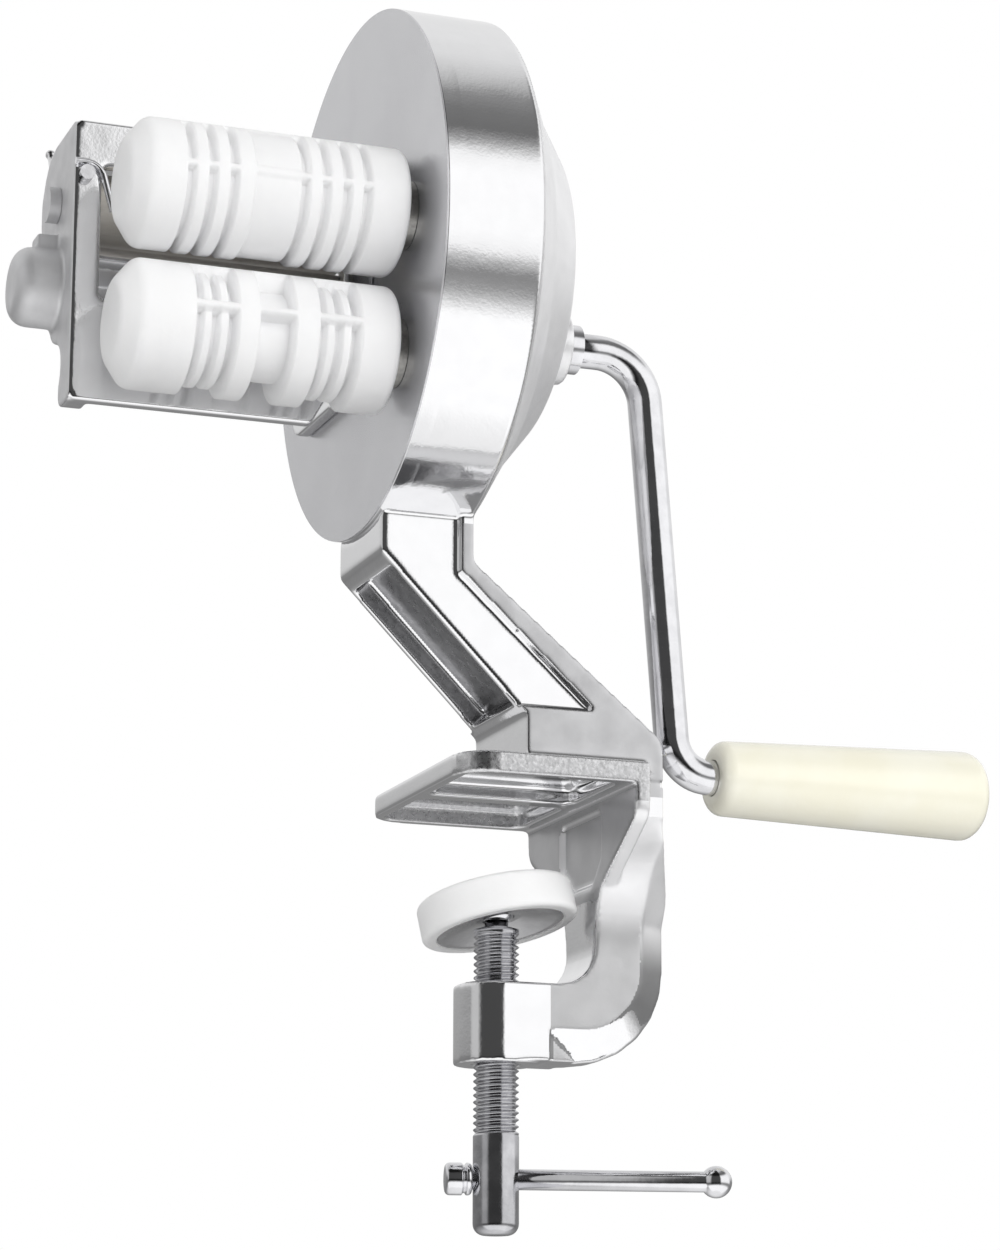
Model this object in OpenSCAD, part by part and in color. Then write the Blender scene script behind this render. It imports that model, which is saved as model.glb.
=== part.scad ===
// Hand-cranked clamp-on shell-pasta machine.
// Row frame in millimetres: +Z up, the origin lies where the clamp screw's axis meets the
// underside of the table foot. The drum's axis runs along X: cutters towards -X, crank towards +X.

/* [Gear drum] */
// Outside diameter of the gear drum
drum_d = 120; // [114:1:136]
// Width of the drum's rim, cover plate included
drum_w = 22; // [21:1:28]
// Height of the drum's axis above the underside of the foot
drum_z = 118; // [114:1:130]
// Distance from the clamp screw's axis to the drum's open face, along -X
drum_setback = 33.4; // [30:0.2:38]
// Wall of the drum
drum_wall = 3; // [2.5:0.5:4]
// Radius of the raised platform on the drum's back
platform_r = 34; // [32:1:38]
// Height of the raised platform above the rim's back edge
platform_h = 17.5; // [15:0.5:22]
// Thickness of the sheet cover plate
cover_t = 1.5; // [1:0.5:2]

/* [Gear train] */
// Gear module
gear_module = 1.25; // [1.2:0.01:1.3]
// Teeth on each cutter gear
cutter_teeth = 24; // [23:1:25]
// Teeth on the gear on the crank shaft
drive_teeth = 40; // [39:1:42]
// Face width of one gear track
gear_face = 6.5; // [5:0.5:7]
// Direction from the drum's axis to the lower cutter, in degrees from the back
lower_cutter_angle = 223.4; // [222:0.2:225]
// Lean of the upper cutter to the front, in degrees
cutter_lean = 11.5; // [9:0.5:13]
// Direction from the upper cutter to the crank shaft, in degrees
drive_angle = -19.2; // [-20.4:0.2:-17]

/* [Cutters] */
// Diameter of the cutter rollers
cutter_d = 28; // [26:0.5:28.6]
// Length of the cutter rollers, dome included
cutter_len = 60.5; // [57:0.5:63]
// Gap between the cover plate and the cutters
cutter_gap = 3.5; // [3:0.5:6]
// Depth of the grooves between the forming ribs
groove_depth = 2.6; // [1.5:0.1:3.5]
// Diameter of the cutter shafts
cutter_shaft_d = 8; // [7:0.5:9]

/* [Feed rollers and bracket] */
// Diameter of the driven feed roller
feed_d = 21; // [18:0.5:21.5]
// Diameter of the free feed roller above it
idler_d = 16; // [14:0.5:17]
// Dough gap between the two feed rollers
feed_gap = 1; // [0.6:0.2:2]
// Free span of the bracket from the cover plate to its end plate
bracket_span = 63.5; // [62:0.5:68]
// Thickness of the bracket's walls
bracket_t = 3.5; // [3:0.5:4]
// Thickness of the bracket's end plate
end_plate_t = 5; // [4:0.5:6]
// Top of the bracket above the free roller's axis
bracket_rise = 15.2; // [13:0.2:18]
// Bottom of the bracket below the lower cutter's axis
bracket_drop = 12.5; // [11:0.5:16]
// Gap between the lower cutter and the bracket's front wall
bracket_gap = 3; // [2.6:0.1:3.2]

/* [Crank] */
// Diameter of the main shaft
shaft_d = 10; // [9:0.5:11]
// Diameter of the bent crank rod
rod_d = 8; // [7:0.5:8.5]
// Distance from the shaft's axis to the grip's axis
crank_throw = 98; // [85:1:115]
// Outward lean of the crank's leg, in degrees
crank_lean = 4.3; // [0:0.1:6]
// Distance from the drum's open face to the leg, at the shaft's axis
crank_reach = 70.2; // [68:0.2:80]
// Length of the grip
grip_len = 67; // [50:1:90]
// Diameter of the grip at the rod's end
grip_small_d = 17; // [14:0.5:19]
// Diameter of the grip at its free end
grip_large_d = 21; // [19.5:0.5:24]

/* [Foot and clamp] */
// Width of the foot along the table's edge
foot_w = 66; // [58:1:74]
// Reach of the foot over the table from the screw's axis
foot_reach = 19.6; // [16:0.2:24]
// Height of the foot's rim
foot_h = 4.8; // [4:0.2:7]
// Distance from the screw's axis to the wall that meets the table's edge
throat = 19.7; // [19:0.1:22]
// Distance from the screw's axis to the back of the arm's foot
spine_back = 33; // [32.6:0.2:37]
// Distance from the screw's axis to the back of the clamp's leg
leg_back = 37.6; // [36:0.2:42]
// Height of the clamp's mouth, foot to screw boss
mouth = 40.6; // [38:0.2:50]
// Height of the screw boss
boss_h = 17; // [14:0.5:20]
// Depth of the arm along the table's edge
arm_depth = 33; // [28:1:36]
// Diameter of the clamp screw
screw_d = 10; // [9:0.5:11]
// Height of the clamp screw below the boss, down to its tip
screw_tail = 37; // [34:0.5:46]
// Diameter of the clamp pad
pad_d = 34.6; // [33:0.2:36]
// Thickness of the clamp pad
pad_t = 8.4; // [7.8:0.2:9]
// Tilt of the pad as it hangs on the screw, in degrees
pad_tilt = 13; // [0:1:14]
// Diameter of the tommy bar
bar_d = 4.5; // [4:0.5:5.5]
// Length of the tommy bar
bar_len = 62; // [54:1:76]

/* [Hidden] */
$fn = 64;

// Clearances: a running fit, a fixed fit, and a seat between faces
run_fit = 0.06;
snug_fit = 0.02;
seat_gap = 0.1;

// Axes of the train, as [y, z] from the drum's axis
drum_r = drum_d / 2;
cutter_pitch_r = gear_module * cutter_teeth / 2;
drive_pitch_r = gear_module * drive_teeth / 2;
tooth_top = 0.92;
gear_clear = 2.3;
cutter_tip_r = cutter_pitch_r + tooth_top * gear_module;
lower_axis_r = drum_r - drum_wall - cutter_tip_r - gear_clear;
lower_axis = lower_axis_r * [cos(lower_cutter_angle), sin(lower_cutter_angle)];
upper_axis = lower_axis + 2 * cutter_pitch_r * [-sin(cutter_lean), cos(cutter_lean)];
drive_axis = upper_axis + (cutter_pitch_r + drive_pitch_r) * [cos(drive_angle), sin(drive_angle)];
idler_axis = drive_axis + [0, (feed_d + idler_d) / 2 + feed_gap];

// Stations along the drum's axis, from the outer face of the cover plate
gear_start = cover_t + 1.5;
track_gap = 0.5;
second_track = gear_start + gear_face + track_gap;
gear_end = second_track + gear_face;
back_wall = drum_w - drum_wall;
platform_x = drum_w + platform_h;
shoulder_r = platform_r + 12;
shoulder_x = drum_w + platform_h * 0.46;
crank_boss_r = 8.5;
crank_boss_end = platform_x + 11;
bush_wall = 1.5;
bush_flange_t = 1.8;
bush_flange_w = 2;

// Cutters
cutter_r = cutter_d / 2;
cutter_x = -cutter_gap - cutter_len;
dome_h = 4;
cutter_bore_wall = 5;
groove_w = 1.7;
groove_pitch = 4.6;
rib_strip = 46;
blade_w = 1.8;

// Bracket
end_plate_x = -bracket_span - end_plate_t;
boss_r = 8.8;
boss_len = 10;
boss_wall = 2.5;
foot_plate_t = 3;
window_margin = 7;
bracket_screw_d = 4;
bracket_screw_head_d = 7;
bracket_screw_head_t = 2.6;
bracket_screw_bite = 11;
bracket_screw_axes = [drive_axis + [29, 21], drive_axis + [29, -11]];
bracket_screw_edge = 7;
post_r = 4.5;
axle_d = 5;
wire_d = 1.6;
bracket_top = idler_axis[1] + bracket_rise;
bracket_bottom = lower_axis[1] - bracket_drop;
bracket_front = lower_axis[0] + cutter_r + bracket_gap;
window_top = bracket_top - 10;
window_bottom = drive_axis[1] - 6;

// Crank
collar_len = 3.5;
rod_socket = 12;
upper_bend_r = 12;
lower_bend_r = 9;
bend_draw = 0.06;
bend_lap = 0.5;
grip_seat = 1;
grip_wall_end = 7;

// Arm, foot and clamp
arm_front_x = -drum_setback + 1;
arm_back_x = -drum_setback + drum_w - seat_gap;
arm_knee_z = 51;
arm_low_x = 0.9;
arm_low_z = 17;
arm_rim = 6;
arm_web = 1.6;
channel_depth = 5;
channel_rim = 3.5;
foot_rim = 3;
foot_recess = 3.8;
foot_rib = 5;
wall_t = 3.5;
leg_half = 9;
bevel_w = 7;
bevel_d = 5;
boss_w = 18;
boss_depth = 18;
throat_fillet = 8;
wall_panel_depth = 1.2;
leg_taper_top = -12;
leg_taper_bottom = -27;
leg_sweep_r = 30;
heel_r = 21;
lower_z = -mouth - boss_h;

// Clamp screw and pad
screw_r = screw_d / 2;
bar_hole_up = 12;
neck_r = 2.6;
ball_r = 4;
pad_drop = 24;
pivot_z = -pad_drop;
pad_tilt_axis = [0.743, 0.669, 0];
pad_bottom = 3.8 - pad_t;
pad_wall = 1.8;
dish_hub = -2.2;
screw_top = pivot_z + dish_hub - 1.5;
screw_tip = lower_z - screw_tail;
bar_z = screw_tip + bar_hole_up;
pad_rim_w = 3.2;
head_d = 7;
head_len = 5.8;
head_cap = 0.8;
bar_turn = -13;
bar_left = -screw_r - 0.3 - head_len + head_cap;

// Moves children from the drum's own frame to the row frame
module at_drum() {
    translate([-drum_setback, 0, drum_z])
        children();
}

// Turns a shape drawn in XY and raised along Z so that it lies in YZ and runs along X
module along_x() {
    rotate([90, 0, 90])
        children();
}

// Runs children along X on an axis given as [y, z], starting at station x
module on_axis(axis, x) {
    translate([x, axis[0], axis[1]])
        along_x()
            children();
}

// Raises a profile drawn in XZ along Y, centred
module across_y(depth) {
    rotate([90, 0, 0])
        linear_extrude(depth, center = true)
            children();
}

// One corner of an outline turned into an arc of radius r
function unit(v) = v / norm(v);
function corner_arc(before, at, after, r, steps = 6) =
    let (
        u = unit(before - at),
        v = unit(after - at),
        half = acos(max(-1, min(1, u * v))) / 2,
        reach = r / tan(half),
        centre = at + unit(u + v) * r / sin(half),
        start = at + u * reach - centre,
        end = at + v * reach - centre,
        a0 = atan2(start[1], start[0]),
        turn = atan2(end[1], end[0]) - a0,
        sweep = turn > 180 ? turn - 360 : turn < -180 ? turn + 360 : turn
    )
    [for (i = [0:steps]) centre + r * [cos(a0 + sweep * i / steps), sin(a0 + sweep * i / steps)]];

// Outline whose corners, given as [x, y, radius], are rounded
function rounded(corners) =
    let (n = len(corners))
    [
        for (i = [0:n - 1])
            let (
                p = corners[i],
                at = [p[0], p[1]],
                b = corners[(i + n - 1) % n],
                a = corners[(i + 1) % n]
            )
            each p[2] == 0 ? [at] : corner_arc([b[0], b[1]], at, [a[0], a[1]], p[2])
    ];

// Involute gear outline with backlash, centred, with a tooth at the given angle
function involute_angle(base_r, r) =
    let (t = acos(min(1, base_r / r)))
    tan(t) * 180 / PI - t;
function gear_outline(teeth, phase) =
    let (
        pitch_r = gear_module * teeth / 2,
        base_r = pitch_r * cos(20),
        root_r = pitch_r - 1.3 * gear_module,
        tip_r = pitch_r + tooth_top * gear_module,
        backlash = 0.09,
        half = 90 / teeth - backlash / pitch_r * 90 / PI,
        at_pitch = involute_angle(base_r, pitch_r),
        radii = [root_r, max(base_r, root_r + 0.3), pitch_r, (pitch_r + tip_r) / 2, tip_r],
        spread = [for (r = radii) half + at_pitch - involute_angle(base_r, max(r, base_r))]
    )
    [
        for (i = [0:teeth - 1])
            let (mid = phase + 360 * i / teeth)
            each concat(
                [for (j = [0:4]) radii[j] * [cos(mid - spread[j]), sin(mid - spread[j])]],
                [for (j = [4:-1:0]) radii[j] * [cos(mid + spread[j]), sin(mid + spread[j])]]
            )
    ];

// Gear of one or more tracks with a bore, on its axis
module gear(axis, x, width, teeth, phase, bore_d) {
    on_axis(axis, x)
        linear_extrude(width)
            difference() {
                polygon(gear_outline(teeth, phase));
                circle(d = bore_d + 2 * snug_fit);
            }
}

// Flanged plain bearing bush, with its flange at the low end
module flanged_bush(axis, x, bore_d, length, flange_t) {
    on_axis(axis, x)
        difference() {
            union() {
                cylinder(d = bore_d + 2 * bush_wall, h = length);
                cylinder(d = bore_d + 2 * (bush_wall + bush_flange_w), h = flange_t);
            }
            translate([0, 0, -1])
                cylinder(d = bore_d + 2 * run_fit, h = length + 2);
        }
}

// Outside of the drum: rim, rounded back edge and raised platform
module drum_outside() {
    edge_r = 0.8;
    along_x()
        rotate_extrude($fn = 120)
            polygon(rounded([
                [0, cover_t, 0],
                [drum_r, cover_t, 0],
                [drum_r, drum_w, edge_r],
                [shoulder_r, shoulder_x, 6],
                [platform_r, platform_x, 5],
                [0, platform_x, 0]
            ]));
    on_axis(drive_axis, platform_x - 1)
        cylinder(r = crank_boss_r, h = crank_boss_end - platform_x + 1);
}

// Hollow of the drum, open towards the cover plate
module drum_hollow() {
    hollow_r = drum_r - drum_wall;
    along_x()
        rotate_extrude($fn = 120)
            polygon([
                [0, cover_t - 1],
                [hollow_r, cover_t - 1],
                [hollow_r, back_wall],
                [shoulder_r - drum_wall / 2, shoulder_x - drum_wall],
                [platform_r - drum_wall, platform_x - drum_wall],
                [0, platform_x - drum_wall]
            ]);
}

// Inside bosses for the cutter shafts' rear journals, and posts for the bracket's screws
module drum_inside() {
    journal_wall = 3;
    for (axis = bracket_screw_axes)
        on_axis(axis, cover_t)
            cylinder(r = post_r, h = platform_x);
    for (axis = [upper_axis, lower_axis])
        on_axis(axis, gear_end + 0.8)
            cylinder(d = cutter_shaft_d + 2 * journal_wall, h = platform_x);
}

module drum_bores() {
    rear_journal_end = drum_w - 1;
    for (axis = [upper_axis, lower_axis])
        on_axis(axis, gear_end)
            cylinder(d = cutter_shaft_d + 2 * run_fit, h = rear_journal_end - gear_end);
    for (axis = bracket_screw_axes)
        on_axis(axis, cover_t - 1)
            cylinder(d = bracket_screw_d + 2 * snug_fit, h = bracket_screw_bite + 2);
    on_axis(drive_axis, platform_x - drum_wall - 1)
        cylinder(d = shaft_d + 2 * (bush_wall + snug_fit), h = crank_boss_end);
}

// Slanted arm from the drum down to the foot, seen from the front
module arm_side() {
    polygon(rounded([
        [arm_front_x, drum_z - drum_r + 6, 0],
        [arm_front_x, arm_knee_z, 2],
        [arm_low_x, arm_low_z, 1],
        [arm_low_x, foot_h - 1, 0],
        [spine_back, foot_h - 1, 0],
        [spine_back, arm_low_z - 4, 6],
        [arm_back_x, arm_knee_z - 1, 4],
        [arm_back_x, drum_z - drum_r + 6, 0]
    ]));
}

// Shallow panel sunk into the arm's front and back, leaving a rim along the right and below
module arm_panel() {
    slope = unit([spine_back - arm_back_x, arm_low_z - 4 - arm_knee_z + 1]);
    inward = arm_rim * [slope[1], -slope[0]];
    upper = [arm_back_x, arm_knee_z - 1] + inward;
    lower = [spine_back, arm_low_z - 4] + inward;
    floor_z = arm_low_z + 1.5;
    run = (upper[1] - floor_z) / (upper[1] - lower[1]);
    polygon([
        [arm_front_x - 10, drum_z],
        [arm_back_x - 3, drum_z],
        [arm_back_x - 3, upper[1] + 2],
        upper + run * (lower - upper),
        [arm_low_x, floor_z],
        [arm_front_x - 10, floor_z]
    ]);
}

// Channel sunk into the arm's slanted underside
module arm_channel() {
    knee = [arm_front_x, arm_knee_z];
    low = [arm_low_x, arm_low_z];
    dir = unit(low - knee);
    in = [-dir[1], dir[0]];
    start = knee + 4 * dir;
    end = low - 3 * dir;
    polygon([start - 3 * in, start + channel_depth * in, end + channel_depth * in, end - 3 * in]);
}

module arm() {
    panel_depth = arm_depth / 2 - arm_web;
    difference() {
        across_y(arm_depth)
            arm_side();
        for (side = [-1, 1])
            translate([0, side * (panel_depth + arm_web), 0])
                across_y(2 * arm_web)
                    arm_panel();
        across_y(arm_depth - 2 * channel_rim)
            arm_channel();
    }
}

// Leaves children as they are for side 1 and mirrors them across the XZ plane for side -1
module on_side(side) {
    mirror([0, side < 0 ? 1 : 0, 0])
        children();
}

// Foot that rests on the table, with two hollows inside its rim and a rib between them
module table_foot() {
    half = foot_w / 2;
    corner = 8;
    difference() {
        linear_extrude(foot_h)
            polygon(rounded([
                [-foot_reach, -half, corner],
                [throat + wall_t, -half, 2],
                [throat + wall_t, half, 2],
                [-foot_reach, half, corner]
            ]));
        for (side = [-1, 1])
            on_side(side)
                translate([0, 0, -1])
                    linear_extrude(foot_recess + 1)
                        polygon(rounded([
                            [-foot_reach + foot_rim, foot_rib / 2, 2],
                            [throat - foot_rim, foot_rib / 2, 2],
                            [throat - foot_rim, half - foot_rim, 3],
                            [-foot_reach + foot_rim, half - foot_rim, 3]
                        ]));
    }
    // Flare that carries the arm's sides down into the foot
    flare_h = 5;
    flare = 5;
    translate([arm_low_x, 0, foot_h - 0.5])
        along_x()
            linear_extrude(spine_back - arm_low_x - 4)
                polygon([
                    [-arm_depth / 2 - flare, 0],
                    [arm_depth / 2 + flare, 0],
                    [arm_depth / 2 - arm_web, flare_h],
                    [-arm_depth / 2 + arm_web, flare_h]
                ]);
}

// Shallow panel sunk into the face of the edge wall, in YZ
module wall_panel() {
    top_half = 12;
    bottom_half = 6.5;
    polygon(rounded([
        [-top_half, -2.5, 1.5],
        [top_half, -2.5, 1.5],
        [top_half, -12.5, 2],
        [bottom_half, -18.5, 2],
        [-bottom_half, -18.5, 2],
        [-top_half, -12.5, 2]
    ]));
}

// Wall that meets the table's edge, wide at the foot and drawn in to the leg
module edge_wall() {
    half = foot_w / 2;
    wing_z = -7;
    waist_z = -22;
    bottom_z = -mouth + throat_fillet;
    translate([throat, 0, 0])
        along_x()
            linear_extrude(wall_t)
                polygon(rounded([
                    [-half, foot_h, 0],
                    [-half, wing_z, 5],
                    [-leg_half, waist_z, 7],
                    [-leg_half, bottom_z, 0],
                    [leg_half, bottom_z, 0],
                    [leg_half, waist_z, 7],
                    [half, wing_z, 5],
                    [half, foot_h, 0]
                ]));
}

// Spine, heel and lower arm as one curved leg, seen from the front
module leg_side() {
    polygon(rounded([
        [throat, foot_h - 2, 0],
        [spine_back, foot_h - 2, 0],
        [spine_back, leg_taper_top + 4, 8],
        [leg_back, leg_taper_bottom + 6, 8],
        [leg_back, lower_z, heel_r],
        [0, lower_z, 0],
        [0, -mouth, 0],
        [throat, -mouth, throat_fillet]
    ]));
}

// Section of the bevel: outward from the leg's outer edge, and up from its side face
bevel_section = [
    [-bevel_w, 0],
    [2, -bevel_d * (bevel_w + 2) / bevel_w],
    [2, 1],
    [-bevel_w, 1]
];

// Cuts the broad bevel along the leg's outer edge: lower arm, heel, spine, and out over the taper
module leg_bevel() {
    heel = [leg_back - heel_r, lower_z + heel_r];
    lean = atan2(arm_depth / 2 - leg_half, leg_taper_top - leg_taper_bottom);
    run_out = 2 * (leg_taper_top - leg_taper_bottom);
    translate([boss_w / 2, 0, 0])
        along_x()
            linear_extrude(heel[0] - boss_w / 2)
                polygon([for (p = bevel_section) [leg_half + p[1], lower_z - p[0]]]);
    translate([heel[0], 0, heel[1]])
        rotate([-90, 0, 0])
            rotate_extrude(angle = 90)
                polygon([for (p = bevel_section) [heel_r + p[0], leg_half + p[1]]]);
    translate([leg_back, leg_half, heel[1]])
        linear_extrude(leg_taper_bottom - heel[1])
            polygon(bevel_section);
    intersection() {
        translate([leg_back, leg_half, leg_taper_bottom])
            rotate([-lean, 0, 0])
                translate([0, 0, -2 * bevel_d])
                    linear_extrude(run_out + 2 * bevel_d)
                        polygon([for (p = bevel_section) [p[0], p[1] * cos(lean)]]);
        translate([0, 0, leg_taper_bottom])
            cube([2 * leg_back, foot_w, -leg_taper_bottom]);
    }
}

module leg() {
    upper_half = arm_depth / 2;
    difference() {
        intersection() {
            across_y(foot_w)
                leg_side();
            translate([-1, 0, 0])
                along_x()
                    linear_extrude(leg_back + 2)
                        polygon(rounded([
                            [-upper_half, foot_h, 0],
                            [-upper_half, leg_taper_top, leg_sweep_r],
                            [-leg_half, leg_taper_bottom, leg_sweep_r],
                            [-leg_half, lower_z - 1, 0],
                            [leg_half, lower_z - 1, 0],
                            [leg_half, leg_taper_bottom, leg_sweep_r],
                            [upper_half, leg_taper_top, leg_sweep_r],
                            [upper_half, foot_h, 0]
                        ]));
        }
        for (side = [-1, 1])
            on_side(side)
                leg_bevel();
    }
}

// Boss that the clamp screw runs in, with a gusset to the lower arm
module screw_boss() {
    half_w = boss_w / 2;
    half_d = boss_depth / 2;
    gusset = 7;
    corner = 7.5;
    translate([0, 0, lower_z - 0.5])
        linear_extrude(boss_h + 0.5)
            polygon(rounded([
                [-half_w, -half_d, corner],
                [half_w, -half_d, corner],
                [half_w, half_d, corner],
                [-half_w, half_d, corner]
            ]));
    across_y(boss_depth - 2)
        polygon([[half_w - 1, lower_z], [half_w + gusset, lower_z], [half_w - 1, lower_z + gusset]]);
}

module gear_housing() {
    color("gainsboro")
        difference() {
            union() {
                at_drum()
                    drum_outside();
                difference() {
                    arm();
                    at_drum()
                        on_axis([0, 0], 0) {
                            cylinder(r = drum_r - drum_wall, h = drum_w, $fn = 120);
                            cylinder(r = drum_r + seat_gap, h = cover_t, $fn = 120);
                        }
                }
                table_foot();
                edge_wall();
                leg();
                screw_boss();
            }
            at_drum()
                difference() {
                    drum_hollow();
                    drum_inside();
                }
            at_drum()
                drum_bores();
            translate([throat - 1, 0, 0])
                along_x()
                    linear_extrude(wall_panel_depth + 1)
                        wall_panel();
            translate([0, 0, lower_z - 2])
                cylinder(r = screw_r + run_fit, h = boss_h + 4);
        }
}

module cover_plate() {
    color("silver")
        at_drum()
            on_axis([0, 0], 0)
                difference() {
                    cylinder(r = drum_r, h = cover_t - snug_fit, $fn = 120);
                    for (axis = [upper_axis, lower_axis])
                        translate([axis[0], axis[1], -1])
                            cylinder(d = cutter_shaft_d + 2 * (bush_wall + snug_fit), h = cover_t + 2);
                    translate([drive_axis[0], drive_axis[1], -1])
                        cylinder(d = shaft_d + 2, h = cover_t + 2);
                    translate([idler_axis[0], idler_axis[1], -1])
                        cylinder(d = axle_d + 2 * snug_fit, h = cover_t + 2);
                    for (axis = bracket_screw_axes)
                        translate([axis[0], axis[1], -1])
                            cylinder(d = bracket_screw_d + 2 * snug_fit, h = cover_t + 2);
                }
}

// Outline of the bracket's end plate in YZ
shoulder_arc = 13;
shoulder = [drive_axis[0] + boss_r + 10, bracket_top];
module end_plate_outline() {
    leg_w = 10;
    polygon(rounded([
        [bracket_front, bracket_top, 2],
        [shoulder[0], shoulder[1], shoulder_arc],
        [drive_axis[0] + boss_r + 6, drive_axis[1] + 11, 10],
        [drive_axis[0] + boss_r, drive_axis[1], 6],
        [drive_axis[0] + 4, drive_axis[1] - 11, 8],
        [bracket_front + 6, bracket_bottom + 13, 6],
        [bracket_front + leg_w, bracket_bottom + 5, 4],
        [bracket_front + leg_w, bracket_bottom, 3],
        [bracket_front, bracket_bottom, 2]
    ]));
}

// End plate with its bearing boss, the rib over the boss, and a ball stud on the rounded shoulder
module bracket_end() {
    rib_w = 6;
    rib_rise = 3;
    stud_angle = 60;
    stud_out = 4.3;
    stud_d = 1.8;
    stud_ball_d = 2.6;
    on_axis([0, 0], end_plate_x)
        linear_extrude(end_plate_t)
            end_plate_outline();
    on_axis(drive_axis, end_plate_x - boss_len)
        rotate_extrude()
            polygon(rounded([
                [0, 0, 0], [boss_r, 0, 4], [boss_r, boss_len + 1, 0], [0, boss_len + 1, 0]
            ]));
    translate([end_plate_x - boss_len / 2, drive_axis[0] - rib_w / 2, drive_axis[1]])
        cube([boss_len / 2 + 1, rib_w, boss_r + rib_rise]);
    translate([end_plate_x + stud_ball_d / 2, shoulder[0] - shoulder_arc, shoulder[1] - shoulder_arc])
        rotate([stud_angle, 0, 0]) {
            rotate([-90, 0, 0])
                cylinder(d = stud_d, h = shoulder_arc + stud_out, $fn = 24);
            translate([0, shoulder_arc + stud_out, 0])
                sphere(d = stud_ball_d, $fn = 24);
        }
}

// Front wall with the window that shows the feed roller and lets the dough through,
// cut back along its lower edge next to the cover plate
module bracket_wall() {
    cut_back = 9;
    window_corner = 2;
    window_left = -bracket_span + 1.2;
    window_right = -window_margin;
    translate([0, bracket_front + bracket_t / 2, 0])
        across_y(bracket_t)
            difference() {
                polygon([
                    [end_plate_x + 1, bracket_bottom],
                    [-cut_back - 5, bracket_bottom],
                    [-cut_back, bracket_bottom + cut_back],
                    [-seat_gap, bracket_bottom + cut_back],
                    [-seat_gap, bracket_top],
                    [end_plate_x + 1, bracket_top]
                ]);
                polygon(rounded([
                    [window_left, window_bottom, window_corner],
                    [window_right, window_bottom, window_corner],
                    [window_right, window_top, window_corner],
                    [window_left, window_top, window_corner]
                ]));
            }
}

// Plate that is screwed to the cover
module bracket_foot() {
    foot_back = bracket_screw_axes[0][0] + bracket_screw_edge;
    on_axis([0, 0], -foot_plate_t - seat_gap)
        linear_extrude(foot_plate_t)
            polygon(rounded([
                [bracket_front, bracket_top, 0],
                [drive_axis[0] + 12, bracket_top, 6],
                [foot_back, bracket_screw_axes[0][1] + bracket_screw_edge, 6],
                [foot_back, bracket_screw_axes[1][1] - bracket_screw_edge, 6],
                [drive_axis[0] + 8, bracket_screw_axes[1][1] - bracket_screw_edge, 6],
                [drive_axis[0], bracket_bottom + 9, 4],
                [bracket_front, bracket_bottom + 9, 0]
            ]));
}

module roller_bracket() {
    flange_w = drive_axis[0] + 12 - bracket_front;
    bush_seat = boss_len - boss_wall;
    color("lightgray")
        at_drum()
            difference() {
                union() {
                    bracket_end();
                    bracket_wall();
                    bracket_foot();
                    translate([end_plate_x + 1, bracket_front, bracket_top - bracket_t])
                        cube([-end_plate_x - 1 - seat_gap, flange_w, bracket_t]);
                }
                on_axis(drive_axis, end_plate_x - bush_seat)
                    cylinder(d = shaft_d + 2 * (bush_wall + snug_fit), h = bush_seat + end_plate_t + 1);
                on_axis(drive_axis, -foot_plate_t - 1)
                    cylinder(d = shaft_d + 2, h = foot_plate_t + 2);
                on_axis(idler_axis, end_plate_x - 1)
                    cylinder(d = axle_d + 2 * snug_fit, h = -end_plate_x + 2);
                for (axis = bracket_screw_axes)
                    on_axis(axis, -foot_plate_t - 1)
                        cylinder(d = bracket_screw_d + 2 * snug_fit, h = foot_plate_t + 2);
            }
}

module bracket_screws() {
    slot_w = 1;
    slot_depth = 1.2;
    shank_len = bracket_screw_head_t + foot_plate_t + cover_t + bracket_screw_bite;
    color("silver")
        at_drum()
            for (axis = bracket_screw_axes)
                on_axis(axis, -foot_plate_t - 2 * seat_gap - bracket_screw_head_t)
                    difference() {
                        union() {
                            cylinder(d = bracket_screw_head_d, h = bracket_screw_head_t);
                            cylinder(d = bracket_screw_d, h = shank_len);
                        }
                        translate([0, 0, slot_depth / 2 - 0.5])
                            cube([2 * bracket_screw_head_d, slot_w, slot_depth + 1], center = true);
                    }
}

module crank_bush() {
    bush_start = platform_x - drum_wall - bush_flange_t - seat_gap;
    color("darkgoldenrod")
        at_drum()
            flanged_bush(drive_axis, bush_start, shaft_d, crank_boss_end - bush_start, bush_flange_t);
}

module cutter_bush(axis) {
    color("darkgoldenrod")
        at_drum()
            flanged_bush(axis, -bush_flange_t - seat_gap, cutter_shaft_d,
                bush_flange_t + seat_gap + cover_t + 0.8, bush_flange_t);
}

module upper_cutter_bush() cutter_bush(upper_axis);

module lower_cutter_bush() cutter_bush(lower_axis);

module feed_bush() {
    length = boss_len - boss_wall + end_plate_t;
    color("darkgoldenrod")
        at_drum()
            on_axis(drive_axis, end_plate_x - boss_len + boss_wall + seat_gap)
                difference() {
                    cylinder(d = shaft_d + 2 * bush_wall, h = length - seat_gap);
                    translate([0, 0, -1])
                        cylinder(d = shaft_d + 2 * run_fit, h = length + 2);
                }
}

module idler_axle() {
    head_t = 2.5;
    color("silver")
        at_drum()
            on_axis(idler_axis, end_plate_x - seat_gap - head_t) {
                cylinder(d = axle_d + 3, h = head_t);
                cylinder(d = axle_d, h = -end_plate_x + head_t + cover_t);
            }
}

// Straight round bar in XZ from one point to another, lapped into its neighbours at both ends
module bar_run(from, to, d) {
    run = to - from;
    translate([from[0], 0, from[1]])
        rotate([0, atan2(run[0], run[1]), 0])
            translate([0, 0, -bend_lap])
                cylinder(d = d, h = norm(run) + 2 * bend_lap, $fn = 32);
}

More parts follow.
